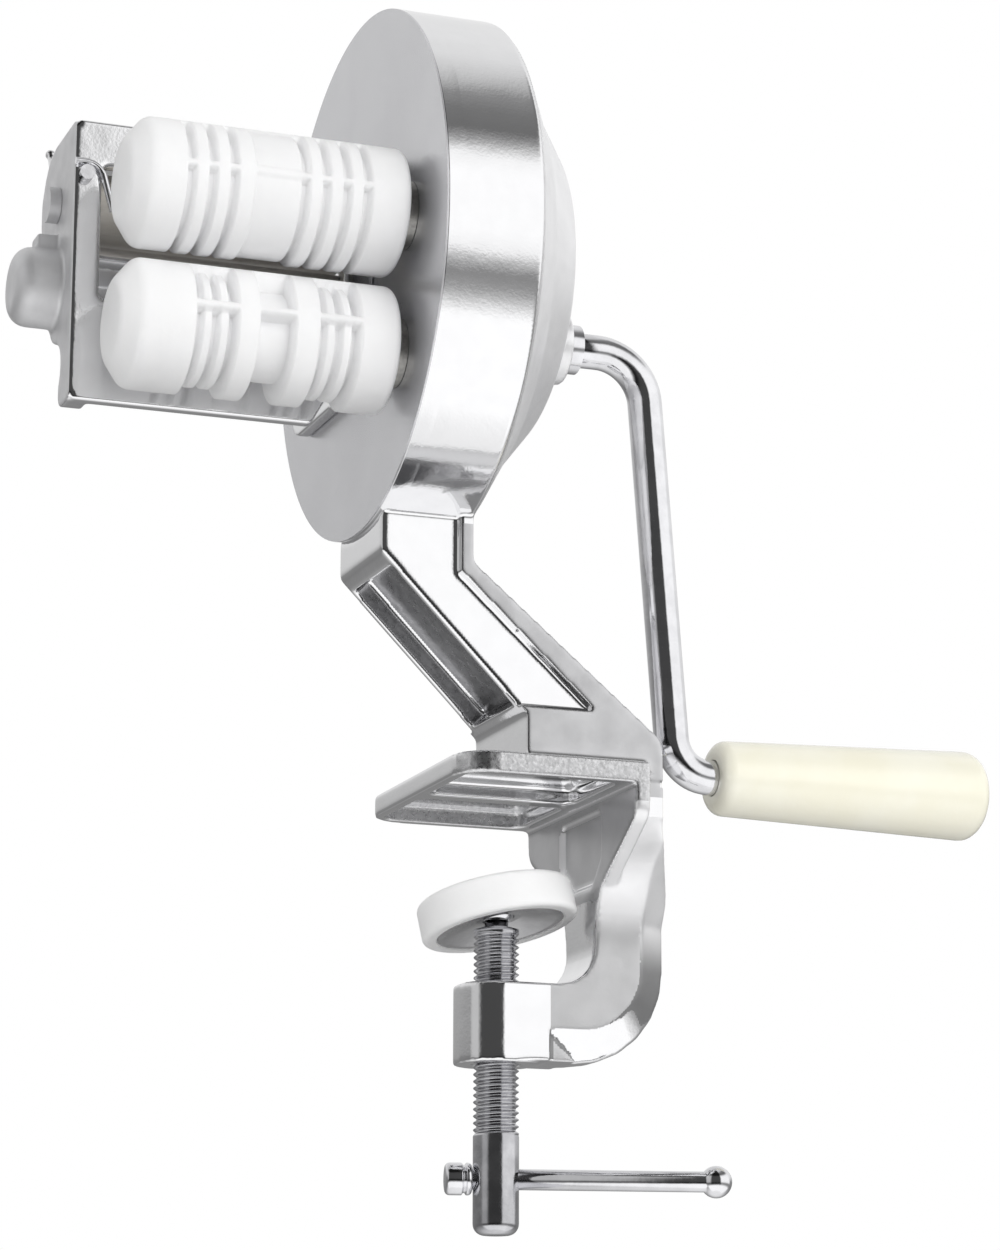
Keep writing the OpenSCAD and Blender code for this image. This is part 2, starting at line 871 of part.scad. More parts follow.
// Bend of a round bar in XZ about a centre, from one angle through a turn
module bar_bend(centre, bend_r, from, turn, d, draw = bend_draw) {
    translate([centre[0], 0, centre[1]])
        rotate([90, 0, 0])
            rotate([0, 0, from])
                rotate_extrude(angle = turn, $fn = 64)
                    translate([bend_r, 0])
                        circle(d = d - draw, $fn = 32);
}

// Bent wire pinned to the bracket's front beside the window, with its free end over the opening
module idler_spring() {
    hook_r = 4;
    hook_lean = 16;
    hook_leg = 7.5;
    pin_d = 3.4;
    pin_h = wire_d + 0.5;
    pin_z = window_top - wire_d / 2 - 2 * seat_gap - pin_d / 2;
    start = [end_plate_x + bend_lap, window_top];
    centre = [end_plate_x + 2.5, window_top - hook_r];
    hook_draw = 0.3;
    leg_start = centre + hook_r * [cos(hook_lean), sin(hook_lean)];
    leg_end = leg_start + hook_leg * [sin(hook_lean), -cos(hook_lean)];
    color("whitesmoke")
        at_drum()
            translate([0, bracket_front - wire_d / 2 - snug_fit, 0]) {
                bar_run(start, centre + [0, hook_r], wire_d);
                bar_bend(centre, hook_r, hook_lean, 90 - hook_lean, wire_d, hook_draw);
                bar_run(leg_start, leg_end, wire_d);
                translate([centre[0], wire_d / 2, pin_z])
                    rotate([90, 0, 0])
                        cylinder(d = pin_d, h = pin_h, $fn = 32);
            }
}

module main_shaft() {
    shaft_start = end_plate_x - boss_len + boss_wall + 1;
    shaft_end = crank_boss_end + collar_len;
    color("silver")
        at_drum()
            difference() {
                union() {
                    on_axis(drive_axis, shaft_start)
                        cylinder(d = shaft_d, h = shaft_end - shaft_start);
                    on_axis(drive_axis, crank_boss_end + 0.3)
                        cylinder(d = shaft_d + 1.4, h = collar_len - 0.3);
                }
                on_axis(drive_axis, shaft_end - rod_socket)
                    cylinder(d = rod_d + 2 * snug_fit, h = rod_socket + 1);
            }
}

// Centre line of the crank: shaft stretch, leaning leg, grip spindle
leg_dir = [sin(crank_lean), -cos(crank_lean)];
upper_corner = [crank_reach, drive_axis[1]];
lower_corner = upper_corner + leg_dir * crank_throw / cos(crank_lean);
bend_turn = 90 - crank_lean;
upper_tangent = upper_bend_r * tan(bend_turn / 2);
lower_tangent = lower_bend_r * tan(bend_turn / 2);
grip_start = lower_corner[0] + lower_tangent + grip_seat;

module crank_rod() {
    shaft_z = upper_corner[1];
    grip_z = lower_corner[1];
    rod_start = crank_boss_end + collar_len - rod_socket + 1;
    bend_start = upper_corner[0] - upper_tangent;
    leg_start = upper_corner + leg_dir * upper_tangent;
    leg_end = lower_corner - leg_dir * lower_tangent;
    spindle_start = lower_corner[0] + lower_tangent;
    spindle_end = grip_start + grip_len - grip_wall_end - 1;
    color("silver")
        at_drum()
            translate([0, drive_axis[0], 0]) {
                bar_run([rod_start, shaft_z], [bend_start, shaft_z], rod_d);
                bar_bend([bend_start, shaft_z - upper_bend_r], upper_bend_r, crank_lean, bend_turn, rod_d);
                bar_run(leg_start, leg_end, rod_d);
                bar_bend([spindle_start, grip_z + lower_bend_r], lower_bend_r,
                    180 + crank_lean, bend_turn, rod_d);
                bar_run([spindle_start, grip_z], [spindle_end, grip_z], rod_d);
            }
}

module handle_grip() {
    small_r = grip_small_d / 2;
    large_r = grip_large_d / 2;
    color("ivory")
        at_drum()
            on_axis([drive_axis[0], lower_corner[1]], grip_start)
                difference() {
                    rotate_extrude($fn = 96)
                        polygon(rounded([
                            [0, 0, 0],
                            [small_r, 0, 3],
                            [large_r, grip_len, 4.5],
                            [0, grip_len, 0]
                        ]));
                    translate([0, 0, -1])
                        cylinder(d = rod_d + 2 * run_fit, h = grip_len - grip_wall_end + 1, $fn = 32);
                }
}

drive_to_upper = atan2(upper_axis[1] - drive_axis[1], upper_axis[0] - drive_axis[0]);
upper_to_lower = atan2(lower_axis[1] - upper_axis[1], lower_axis[0] - upper_axis[0]);
tooth_step = 360 / cutter_teeth;

// The upper gear has a gap facing the drive gear's tooth, and the lower gear takes its phase
// from where the upper gear's teeth fall on the line between the two cutters.
upper_phase = drive_to_upper + 180 + tooth_step / 2;
lower_phase = 2 * upper_to_lower + 180 - upper_phase + tooth_step / 2;

module drive_gear() {
    color("dimgray")
        at_drum()
            gear(drive_axis, gear_start, gear_face, drive_teeth, drive_to_upper, shaft_d);
}

module upper_gear() {
    color("dimgray")
        at_drum()
            gear(upper_axis, gear_start, gear_end - gear_start, cutter_teeth, upper_phase, cutter_shaft_d);
}

module lower_gear() {
    color("dimgray")
        at_drum()
            gear(lower_axis, second_track, gear_face, cutter_teeth, lower_phase, cutter_shaft_d);
}

module feed_roller() {
    clear = 1;
    color("lightgray")
        at_drum()
            on_axis(drive_axis, -bracket_span + clear)
                difference() {
                    cylinder(d = feed_d, h = bracket_span - foot_plate_t - seat_gap - 2 * clear);
                    translate([0, 0, -1])
                        cylinder(d = shaft_d + 2 * snug_fit, h = bracket_span);
                }
}

module idler_roller() {
    clear = 2.4;
    color("burlywood")
        at_drum()
            on_axis(idler_axis, -bracket_span + clear)
                difference() {
                    cylinder(d = idler_d, h = bracket_span - foot_plate_t - seat_gap - clear - 1);
                    translate([0, 0, -1])
                        cylinder(d = axle_d + 2 * run_fit, h = bracket_span);
                }
}

module cutter_shaft(axis) {
    color("silver")
        at_drum()
            on_axis(axis, cutter_x + cutter_bore_wall + 0.5)
                cylinder(d = cutter_shaft_d, h = drum_w - 1.5 - cutter_x - cutter_bore_wall - 0.5);
}

module upper_cutter_shaft() cutter_shaft(upper_axis);

module lower_cutter_shaft() cutter_shaft(lower_axis);

// Roller body with a domed free end and a blind bore for its shaft
module cutter_blank() {
    difference() {
        rotate_extrude($fn = 96)
            polygon(rounded([
                [0, 0, 0],
                [cutter_r - 5, 0, 4],
                [cutter_r, dome_h, 3],
                [cutter_r, cutter_len, 1.5],
                [0, cutter_len, 0]
            ]));
        translate([0, 0, cutter_bore_wall])
            cylinder(d = cutter_shaft_d + 2 * snug_fit, h = cutter_len);
    }
}

// Ring groove that leaves a full strip along the top of the roller
module groove(start, width, depth) {
    translate([0, 0, start])
        rotate([0, 0, 90 + rib_strip / 2])
            rotate_extrude(angle = 360 - rib_strip, $fn = 96)
                translate([cutter_r - depth, 0])
                    square([depth + 1, width]);
}

// Row of equal grooves
module grooves(start, count, width, pitch, depth) {
    for (i = [0:count - 1])
        groove(start + i * pitch, width, depth);
}

// Thin blade along the roller that cuts the dough strip to length
module blade(angle, depth) {
    rotate([0, 0, angle])
        translate([cutter_r - depth - 0.5, -blade_w / 2, dome_h + 7])
            cube([depth + 0.5 - 0.05, blade_w, cutter_len - dome_h - 14]);
}

module upper_cutter() {
    panel_depth = 0.7;
    color("white")
        at_drum()
            on_axis(upper_axis, cutter_x) {
                difference() {
                    cutter_blank();
                    grooves(11.2, 3, groove_w, groove_pitch, groove_depth);
                    groove(25.8, 10.2, panel_depth);
                    grooves(36, 4, groove_w, groove_pitch, groove_depth);
                }
                blade(176, groove_depth);
            }
}

module lower_cutter() {
    rib_drop = 1.8;
    notch_depth = rib_drop + groove_depth;
    rib_pitch = 3.6;
    notch_w = 2 * rib_pitch + groove_w;
    color("white")
        at_drum()
            on_axis(lower_axis, cutter_x) {
                difference() {
                    cutter_blank();
                    for (start = [15.5, 42.5]) {
                        groove(start, notch_w, rib_drop);
                        grooves(start, 3, groove_w, rib_pitch, notch_depth);
                    }
                    groove(29.3, 7.6, notch_depth);
                }
                blade(172, notch_depth);
            }
}

// Button, a flattened ball, that the screw's neck turns in and that the pad's dish tilts on
module swivel_ball() {
    flat_top = 1.2;
    flat_bottom = -2.6;
    neck_hole_top = 0.2;
    color("silver")
        translate([0, 0, pivot_z])
            difference() {
                sphere(r = ball_r);
                translate([0, 0, flat_top])
                    cylinder(r = ball_r + 1, h = ball_r);
                translate([0, 0, flat_bottom - ball_r])
                    cylinder(r = ball_r + 1, h = ball_r);
                translate([0, 0, -ball_r - 1])
                    cylinder(r = neck_r + run_fit, h = ball_r + 1 + neck_hole_top);
            }
}

// Sets children on the screw's turned bar hole, along X
module on_bar() {
    translate([0, 0, bar_z])
        rotate([0, 0, bar_turn])
            rotate([0, 90, 0])
                children();
}

module clamp_screw() {
    tip_r = 2.5;
    neck_top = pivot_z;
    color("silver")
        difference() {
            rotate_extrude()
                polygon(rounded([
                    [0, screw_tip, 0],
                    [screw_r, screw_tip, tip_r],
                    [screw_r, screw_top - 0.6, 0.4],
                    [neck_r, screw_top, 0],
                    [neck_r, neck_top, 0],
                    [0, neck_top, 0]
                ]));
            on_bar()
                cylinder(d = bar_d + 2 * run_fit, h = 2 * screw_d, center = true, $fn = 32);
        }
}

// Puts children on the pad's tilted axis, with the pivot at their origin
module on_pad() {
    translate([0, 0, pivot_z])
        rotate(-pad_tilt, pad_tilt_axis)
            children();
}

// Metal dish inside the pad, with a socket for the screw's button
module pad_cup() {
    cup_r = pad_d / 2 - pad_rim_w - snug_fit;
    socket_r = ball_r + run_fit;
    hub_r = ball_r + 2.4;
    dish_t = 1.4;
    ceiling = pad_bottom + pad_t - pad_wall;
    color("silver")
        on_pad()
            difference() {
                rotate_extrude($fn = 96)
                    polygon([
                        [0, ceiling - snug_fit],
                        [hub_r, ceiling - snug_fit],
                        [hub_r, dish_hub + dish_t],
                        [cup_r, pad_bottom + 0.3 + dish_t],
                        [cup_r, pad_bottom + 0.3],
                        [cup_r - dish_t, pad_bottom + 0.3],
                        [ball_r + 1.2, dish_hub],
                        [0, dish_hub]
                    ]);
                sphere(r = socket_r);
                translate([0, 0, -2 * ball_r])
                    cylinder(r = ball_r - 0.4, h = 2 * ball_r - 1);
            }
}

module pad_ring() {
    outer_r = pad_d / 2;
    cup_r = outer_r - pad_rim_w;
    top = pad_bottom + pad_t;
    color("white")
        on_pad()
            rotate_extrude($fn = 96)
                polygon(rounded([
                    [0, top, 0],
                    [outer_r, top, 1.5],
                    [outer_r, pad_bottom, 1.2],
                    [cup_r, pad_bottom, 0.6],
                    [cup_r, top - pad_wall, 0],
                    [0, top - pad_wall, 0]
                ]));
}

module tommy_bar() {
    ball_d = head_d;
    color("silver")
        on_bar()
            translate([0, 0, bar_left]) {
                cylinder(d = bar_d, h = bar_len - ball_d / 2, $fn = 32);
                translate([0, 0, bar_len - ball_d / 2])
                    sphere(d = ball_d, $fn = 48);
            }
}

module tommy_head() {
    color("silver")
        on_bar()
            translate([0, 0, bar_left - head_cap])
                difference() {
                    rotate_extrude($fn = 48)
                        polygon(rounded([
                            [0, 0, 0], [head_d / 2, 0, 1], [head_d / 2, head_len, 1], [0, head_len, 0]
                        ]));
                    translate([0, 0, head_cap - snug_fit])
                        cylinder(d = bar_d + 2 * snug_fit, h = head_len, $fn = 32);
                }
}

gear_housing();
cover_plate();
roller_bracket();
bracket_screws();
crank_bush();
upper_cutter_bush();
lower_cutter_bush();
feed_bush();
idler_axle();
idler_spring();
main_shaft();
crank_rod();
drive_gear();
feed_roller();
handle_grip();
upper_cutter();
upper_cutter_shaft();
upper_gear();
lower_cutter();
lower_cutter_shaft();
lower_gear();
idler_roller();
swivel_ball();
clamp_screw();
pad_cup();
pad_ring();
tommy_bar();
tommy_head();
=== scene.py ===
# %% [markdown]
# # A clamp-on machine for pasta shells
# A gear drum stands on a cast arm that clamps to the table. A crank turns two white cutter
# rollers and a pair of feed rollers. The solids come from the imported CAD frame, in metres, with
# +Z up and the origin where the clamp screw's axis meets the underside of the foot. Each solid
# keeps its place here, and gets the softer edges, threads and finishes that the photo shows.

import math

import bmesh
import bpy
import numpy as np
from mathutils import Euler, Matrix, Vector


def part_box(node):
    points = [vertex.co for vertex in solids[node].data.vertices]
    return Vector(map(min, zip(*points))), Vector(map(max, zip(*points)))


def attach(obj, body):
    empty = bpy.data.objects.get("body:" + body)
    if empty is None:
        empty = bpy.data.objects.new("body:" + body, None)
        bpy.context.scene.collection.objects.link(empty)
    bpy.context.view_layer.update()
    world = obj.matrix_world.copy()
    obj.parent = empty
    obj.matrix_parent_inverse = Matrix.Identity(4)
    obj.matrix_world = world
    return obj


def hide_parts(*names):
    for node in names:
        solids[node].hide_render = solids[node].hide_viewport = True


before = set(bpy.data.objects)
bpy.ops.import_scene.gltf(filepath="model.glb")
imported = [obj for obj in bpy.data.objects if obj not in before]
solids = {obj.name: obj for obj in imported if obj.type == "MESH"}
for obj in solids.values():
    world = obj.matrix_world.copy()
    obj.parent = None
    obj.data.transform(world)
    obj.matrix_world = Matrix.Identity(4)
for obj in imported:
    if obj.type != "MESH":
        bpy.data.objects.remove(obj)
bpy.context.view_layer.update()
MM = 0.001

# %% [markdown]
# ## The camera
# The photo looks slightly up at the machine from the front left. The place, the two angles and
# the lens below were fitted to the drum's rim circles and the upright lines, so a piece that sits
# where the CAD says also sits where the photo shows it.

# %% Camera
CAMERA_PLACE = Vector((-273.17, -740.53, -146.93)) * MM
CAMERA_RISE = 0.232728
CAMERA_TURN = 0.354222
CAMERA_ROLL = 0.0021
CAMERA_LENS = 104.65
SENSOR_WIDTH = 36
NEAREST_SEEN = 0.01

camera = bpy.data.objects.new("camera", bpy.data.cameras.new("camera"))
camera.data.lens = CAMERA_LENS
camera.data.sensor_width = SENSOR_WIDTH
camera.data.clip_start = NEAREST_SEEN
camera.location = CAMERA_PLACE
camera.rotation_euler = Euler((math.pi / 2 + CAMERA_RISE, 0, -CAMERA_TURN), "XYZ")
camera.rotation_euler.rotate_axis("Z", CAMERA_ROLL)
bpy.context.scene.collection.objects.link(camera)
bpy.context.scene.camera = camera
print("camera stands", round(CAMERA_PLACE.length, 2), "m from the foot")

# %% [markdown]
# ## The white studio
# Polished metal shows what stands round it more than its own colour. The bands on the drum's rim
# tell what stood there: a white sheet in front, a dark gap overhead, a grey strip at eye level and
# a white floor. The world below paints those zones by direction, separately for the front and the
# back half of the room. The crank's black streak adds a dark side to the left, where the camera
# stood, so a second pair of ramps darkens the zones there, above the floor. The lens itself sees
# plain white behind the machine.

# %% Zones of the room
def node_maker(tree):
    """Returns a function that adds a node to the tree and sets its plain properties."""

    def add(kind, **settings):
        node = tree.nodes.new(kind)
        for key, value in settings.items():
            setattr(node, key, value)
        return node

    return add


def fill_ramp(ramp, stops, interpolation="EASE"):
    """Sets a colour ramp from (position, grey) or (position, colour) stops."""
    ramp.interpolation = interpolation
    while len(ramp.elements) > 1:
        ramp.elements.remove(ramp.elements[-1])
    for i, (position, tone) in enumerate(stops):
        stop = ramp.elements[0] if i == 0 else ramp.elements.new(position)
        stop.position = position
        colour = (tone, tone, tone) if isinstance(tone, (int, float)) else tone
        stop.color = (*colour, 1)


def angle_stop(degrees):
    """Place on a 0 to 1 ramp of an angle up from the horizon, or to the right."""
    return 0.5 + 0.5 * math.sin(math.radians(degrees))


# (degrees above the horizon, brightness)
FRONT_ZONES = [
    (-90, 0.92), (-70, 0.95), (-64, 1.12), (-28, 1.12), (-22, 0.62), (-17, 0.34), (-11, 0.25),
    (-6, 0.55), (-2, 1.0), (6, 1.1), (30, 1.1), (37, 1.0), (43, 0.38), (48, 0.16), (57, 0.19),
    (64, 0.27), (69, 0.54), (72, 0.66), (90, 0.68),
]
BACK_ZONES = [
    (-90, 0.92), (-60, 0.88), (-35, 0.45), (-15, 0.22), (4, 0.26), (16, 0.74), (26, 0.84),
    (40, 0.78), (62, 0.76), (72, 0.68), (90, 0.68),
]
# (degrees to the right, share of the zone's brightness)
FRONT_SIDES = [(-90, 0.50), (-68, 0.50), (-55, 0.06), (8, 0.06), (16, 1.0), (90, 1.0)]
BACK_SIDES = [(-90, 0.85), (-25, 0.95), (5, 1.0), (90, 1.15)]
# degrees above the horizon where the sides begin to count, and count in full
SHADE_FROM, SHADE_FULL = -26, -14
# half the width of the blend between front and back
HALVES_MEET = 0.15
print("zones:", len(FRONT_ZONES), "in front,", len(BACK_ZONES), "behind")

# %% [markdown]
# The world turns each direction into a height, for the zones, and a swing to the left or right, for
# the sides. The two halves of the room blend into each other where they meet.

# %% World
world = bpy.data.worlds.new("white_studio")
bpy.context.scene.world = world
world.use_nodes = True
tree = world.node_tree
tree.nodes.clear()
add = node_maker(tree)
direction = add("ShaderNodeTexCoord")
parts = add("ShaderNodeSeparateXYZ")
tree.links.new(direction.outputs["Generated"], parts.inputs[0])
lift = add("ShaderNodeMapRange")
lift.inputs["From Min"].default_value = -1
tree.links.new(parts.outputs["Z"], lift.inputs["Value"])
flat = add("ShaderNodeCombineXYZ")
tree.links.new(parts.outputs["X"], flat.inputs["X"])
tree.links.new(parts.outputs["Y"], flat.inputs["Y"])
level = add("ShaderNodeVectorMath", operation="NORMALIZE")
tree.links.new(flat.outputs[0], level.inputs[0])
sideways = add("ShaderNodeSeparateXYZ")
tree.links.new(level.outputs[0], sideways.inputs[0])
swing = add("ShaderNodeMapRange")
swing.inputs["From Min"].default_value = -1
tree.links.new(sideways.outputs["X"], swing.inputs["Value"])
backwards = add("ShaderNodeMapRange", interpolation_type="SMOOTHSTEP")
backwards.inputs["From Min"].default_value = -HALVES_MEET
backwards.inputs["From Max"].default_value = HALVES_MEET
tree.links.new(parts.outputs["Y"], backwards.inputs["Value"])


def two_halves(front, back, value):
    """Two ramps over one value, for the front and the back half of the room, mixed."""
    mix = add("ShaderNodeMix", data_type="RGBA")
    tree.links.new(backwards.outputs[0], mix.inputs["Factor"])
    for stops, socket in ((front, "A"), (back, "B")):
        ramp = add("ShaderNodeValToRGB")
        fill_ramp(ramp.color_ramp, [(angle_stop(angle), tone) for angle, tone in stops], "LINEAR")
        tree.links.new(value, ramp.inputs[0])
        tree.links.new(ramp.outputs[0], mix.inputs[socket])
    return mix.outputs["Result"]


above_floor = add("ShaderNodeMapRange")
above_floor.inputs["From Min"].default_value = math.sin(math.radians(SHADE_FROM))
above_floor.inputs["From Max"].default_value = math.sin(math.radians(SHADE_FULL))
tree.links.new(parts.outputs["Z"], above_floor.inputs["Value"])
room = add("ShaderNodeMix", data_type="RGBA", blend_type="MULTIPLY")
tree.links.new(above_floor.outputs[0], room.inputs["Factor"])
tree.links.new(two_halves(FRONT_ZONES, BACK_ZONES, lift.outputs[0]), room.inputs["A"])
tree.links.new(two_halves(FRONT_SIDES, BACK_SIDES, swing.outputs[0]), room.inputs["B"])
room_light = add("ShaderNodeBackground")
tree.links.new(room.outputs["Result"], room_light.inputs["Color"])
sheet = add("ShaderNodeBackground")
sheet.inputs["Color"].default_value = (1, 1, 1, 1)
eye = add("ShaderNodeLightPath")
choose = add("ShaderNodeMixShader")
tree.links.new(eye.outputs["Is Camera Ray"], choose.inputs[0])
tree.links.new(room_light.outputs[0], choose.inputs[1])
tree.links.new(sheet.outputs[0], choose.inputs[2])
out = add("ShaderNodeOutputWorld")
tree.links.new(choose.outputs[0], out.inputs["Surface"])
bpy.context.scene.view_settings.view_transform = "Standard"
print("world painted with", len(tree.nodes), "nodes")

# %% [markdown]
# Two wide soft lamps add the direction that a world alone lacks: a key from the front, and a
# weaker one from the left. The floor is a plain pale sheet below the lens, so that the photo's
# view, which looks up, sees none of it, while the views from above have something to stand over.
# Polished faces mirror the painted room instead of the floor, because the photo's bands were
# measured there.

# %% Lamps and floor
def soft_lamp(name, place, aim, spread, strength):
    """Far lamp with a wide spread that lights the pieces but isn't mirrored in them."""
    lamp = bpy.data.objects.new(name, bpy.data.lights.new(name, "SUN"))
    lamp.data.angle = math.radians(spread)
    lamp.data.energy = strength
    lamp.location = place
    lamp.rotation_euler = (Vector(aim) - Vector(place)).to_track_quat("-Z", "Y").to_euler()
    lamp.visible_glossy = False
    lamp.visible_camera = False
    bpy.context.scene.collection.objects.link(lamp)


soft_lamp("key_lamp", place=(0.10, -1.25, 0.25), aim=(0, 0, 0.05), spread=48, strength=2.1)
soft_lamp("left_lamp", place=(-1.2, -0.5, 0.5), aim=(0, 0, 0.08), spread=36, strength=0.55)

FLOOR_Z = -0.22
FLOOR_HALF = 30.0
floor_mesh = bpy.data.meshes.new("floor")
floor_mesh.from_pydata(
    [(x * FLOOR_HALF, y * FLOOR_HALF, FLOOR_Z) for x, y in ((-1, -1), (1, -1), (1, 1), (-1, 1))],
    [],
    [(0, 1, 2, 3)],
)
floor = bpy.data.objects.new("floor", floor_mesh)
bpy.context.scene.collection.objects.link(floor)
floor.visible_glossy = False
print("floor at", FLOOR_Z, "m")

# %% [markdown]
# ## Finishes
# Every finish starts from the same recipe: one shader whose colour and roughness drift a little
# with noise, and a fine bump. Only scale and strength change, because a polished casting, a
# plated rod and a moulded roller differ mainly in how large and how strong their unevenness is.
# Noise is measured in the piece's own metres, so a grain of 2 mm stays 2 mm on every piece.

# %% Finish recipe
NOISE_LOW, NOISE_HIGH = 0.3, 0.7
GLOSS_LOW = 0.35
GLOSS_GRAIN = 0.6


def noise_tone(tree, grain, stops, stretch=(1, 1, 1), detail=4.0):
    """Noise with spots of about one grain, as a ramp between the stops."""
    add = node_maker(tree)
    place = add("ShaderNodeTexCoord")
    spread = add("ShaderNodeMapping")
    spread.inputs["Scale"].default_value = stretch
    tree.links.new(place.outputs["Object"], spread.inputs["Vector"])
    noise = add("ShaderNodeTexNoise")
    noise.inputs["Scale"].default_value = 1 / grain
    noise.inputs["Detail"].default_value = detail
    tree.links.new(spread.outputs[0], noise.inputs["Vector"])
    ramp = add("ShaderNodeValToRGB")
    fill_ramp(ramp.color_ramp, stops)
    tree.links.new(noise.outputs[0], ramp.inputs[0])
    return ramp.outputs[0]


def add_bump(tree, shader, grain, depth, stretch=(1, 1, 1), below=None):
    """Adds noise bump of a real depth to the shader, on top of any bump below it."""
    bump = node_maker(tree)("ShaderNodeBump")
    bump.inputs["Distance"].default_value = depth
    height = noise_tone(tree, grain, [(NOISE_LOW, 0.0), (NOISE_HIGH, 1.0)], stretch)
    tree.links.new(height, bump.inputs["Height"])
    if below is not None:
        tree.links.new(below.outputs[0], bump.inputs["Normal"])
    tree.links.new(bump.outputs[0], shader.inputs["Normal"])
    return bump


def finish(name, dark, light, grain, gloss, metal, bumps=(), stretch=(1, 1, 1), **sockets):
    """A finish: colour between dark and light, roughness between two values, and bumps."""
    material = bpy.data.materials.new(name)
    material.use_nodes = True
    tree = material.node_tree
    shader = tree.nodes["Principled BSDF"]
    shader.inputs["Metallic"].default_value = metal
    colour = noise_tone(tree, grain, [(NOISE_LOW, dark), (NOISE_HIGH, light)], stretch)
    tree.links.new(colour, shader.inputs["Base Color"])
    gloss_stops = [(GLOSS_LOW, gloss[0]), (NOISE_HIGH, gloss[1])]
    roughness = noise_tone(tree, grain * GLOSS_GRAIN, gloss_stops, stretch)
    tree.links.new(roughness, shader.inputs["Roughness"])
    below = None
    for bump_grain, depth in bumps:
        below = add_bump(tree, shader, bump_grain, depth, stretch, below)
    for socket, value in sockets.items():
        shader.inputs[socket.replace("_", " ")].default_value = value
    return material


def paint_dark_reflection_down(material, low, high, share):
    """Paints a dark reflection into a finish towards the ground: its full colour above high, a
    share of it below low.
    """
    tree = material.node_tree
    add = node_maker(tree)
    shader = tree.nodes["Principled BSDF"]
    colour = shader.inputs["Base Color"].links[0].from_socket
    place = add("ShaderNodeTexCoord")
    parts = add("ShaderNodeSeparateXYZ")
    tree.links.new(place.outputs["Object"], parts.inputs[0])
    rise = add("ShaderNodeMapRange", interpolation_type="SMOOTHSTEP")
    rise.inputs["From Min"].default_value = low
    rise.inputs["From Max"].default_value = high
    rise.inputs["To Min"].default_value = share
    tree.links.new(parts.outputs["Z"], rise.inputs["Value"])
    shade = add("ShaderNodeMix", data_type="RGBA", blend_type="MULTIPLY")
    shade.inputs["Factor"].default_value = 1
    tree.links.new(colour, shade.inputs["A"])
    tree.links.new(rise.outputs["Result"], shade.inputs["B"])
    tree.links.new(shade.outputs["Result"], shader.inputs["Base Color"])


print("finish recipe ready")

# %% [markdown]
# The casting is polished by hand, so it carries broad waves and fine pits. The polish skips the
# foot's edges, which stay rough, the arm's sides, which stay dull, and the channel, which keeps its
# mould skin, made darker still by painted shade in the recess. The faces looking left below the
# foot are dull too, and their darker colour there is painted shade from the foot above. The leg and
# the drum's back are satin, and the leg's colour darkens towards its bend, most of all along its
# outer edge, as a painted dark reflection. The bracket's end stays sandy.

# %% Finishes of the castings
# height above which the leg's painted dark reflection stops
LEG_FADE_HIGH = -25 * MM


def satin(name, fade_low, share):
    """Satin casting whose colour darkens to a share of itself down the leg, as a painted dark
    reflection.
    """
    material = finish(
        name, dark=(0.88, 0.88, 0.89), light=(0.93, 0.93, 0.94),
        grain=8 * MM, gloss=(0.32, 0.40), metal=0.65,
        bumps=[(8 * MM, 0.03 * MM)],
    )
    paint_dark_reflection_down(material, fade_low, LEG_FADE_HIGH, share)
    return material


polished_casting = finish(
    "polished_casting", dark=(0.88, 0.88, 0.89), light=(0.90, 0.90, 0.91),
    grain=5 * MM, gloss=(0.07, 0.10), metal=1.0,
    bumps=[(10 * MM, 0.02 * MM), (0.6 * MM, 0.004 * MM)],
)
rough_casting = finish(
    "rough_casting", dark=(0.66, 0.66, 0.67), light=(0.80, 0.80, 0.81),
    grain=1.1 * MM, gloss=(0.26, 0.42), metal=1.0,
    bumps=[(3 * MM, 0.04 * MM), (0.9 * MM, 0.02 * MM)],
)
# Darker than the polish; below the foot this darker colour is also painted shade.
dull_and_painted_shade = finish(
    "dull_and_painted_shade", dark=(0.62, 0.62, 0.63), light=(0.68, 0.68, 0.69),
    grain=9 * MM, gloss=(0.28, 0.34), metal=1.0,
    bumps=[(7 * MM, 0.02 * MM)],
)
# the leg's satin and its outer edge carry a painted dark reflection that darkens them downwards
satin_with_painted_reflection = satin("satin_with_painted_reflection", fade_low=-31 * MM, share=0.66)
edge_with_painted_reflection = satin("edge_with_painted_reflection", fade_low=-38 * MM, share=0.3)
sand_casting = finish(
    "sand_casting", dark=(0.68, 0.68, 0.69), light=(0.74, 0.74, 0.75),
    grain=6 * MM, gloss=(0.46, 0.54), metal=0.65,
    bumps=[(0.8 * MM, 0.006 * MM)],
)
# Very dark: the channel's unpolished skin, made darker by painted shade in its recess.
mould_skin_and_painted_shade = finish(
    "mould_skin_and_painted_shade", dark=(0.25, 0.25, 0.26), light=(0.33, 0.33, 0.34),
    grain=3 * MM, gloss=(0.26, 0.38), metal=1.0,
    bumps=[(3 * MM, 0.03 * MM)],
)
print("finishes of the castings:", len(bpy.data.materials))

# %% [markdown]
# The cover plate is plain matt sheet. Rod, screw and bar are plated and far smoother. The cutters
# are a milky moulded plastic that lets a little light through, and the grip is a glossy ivory one.

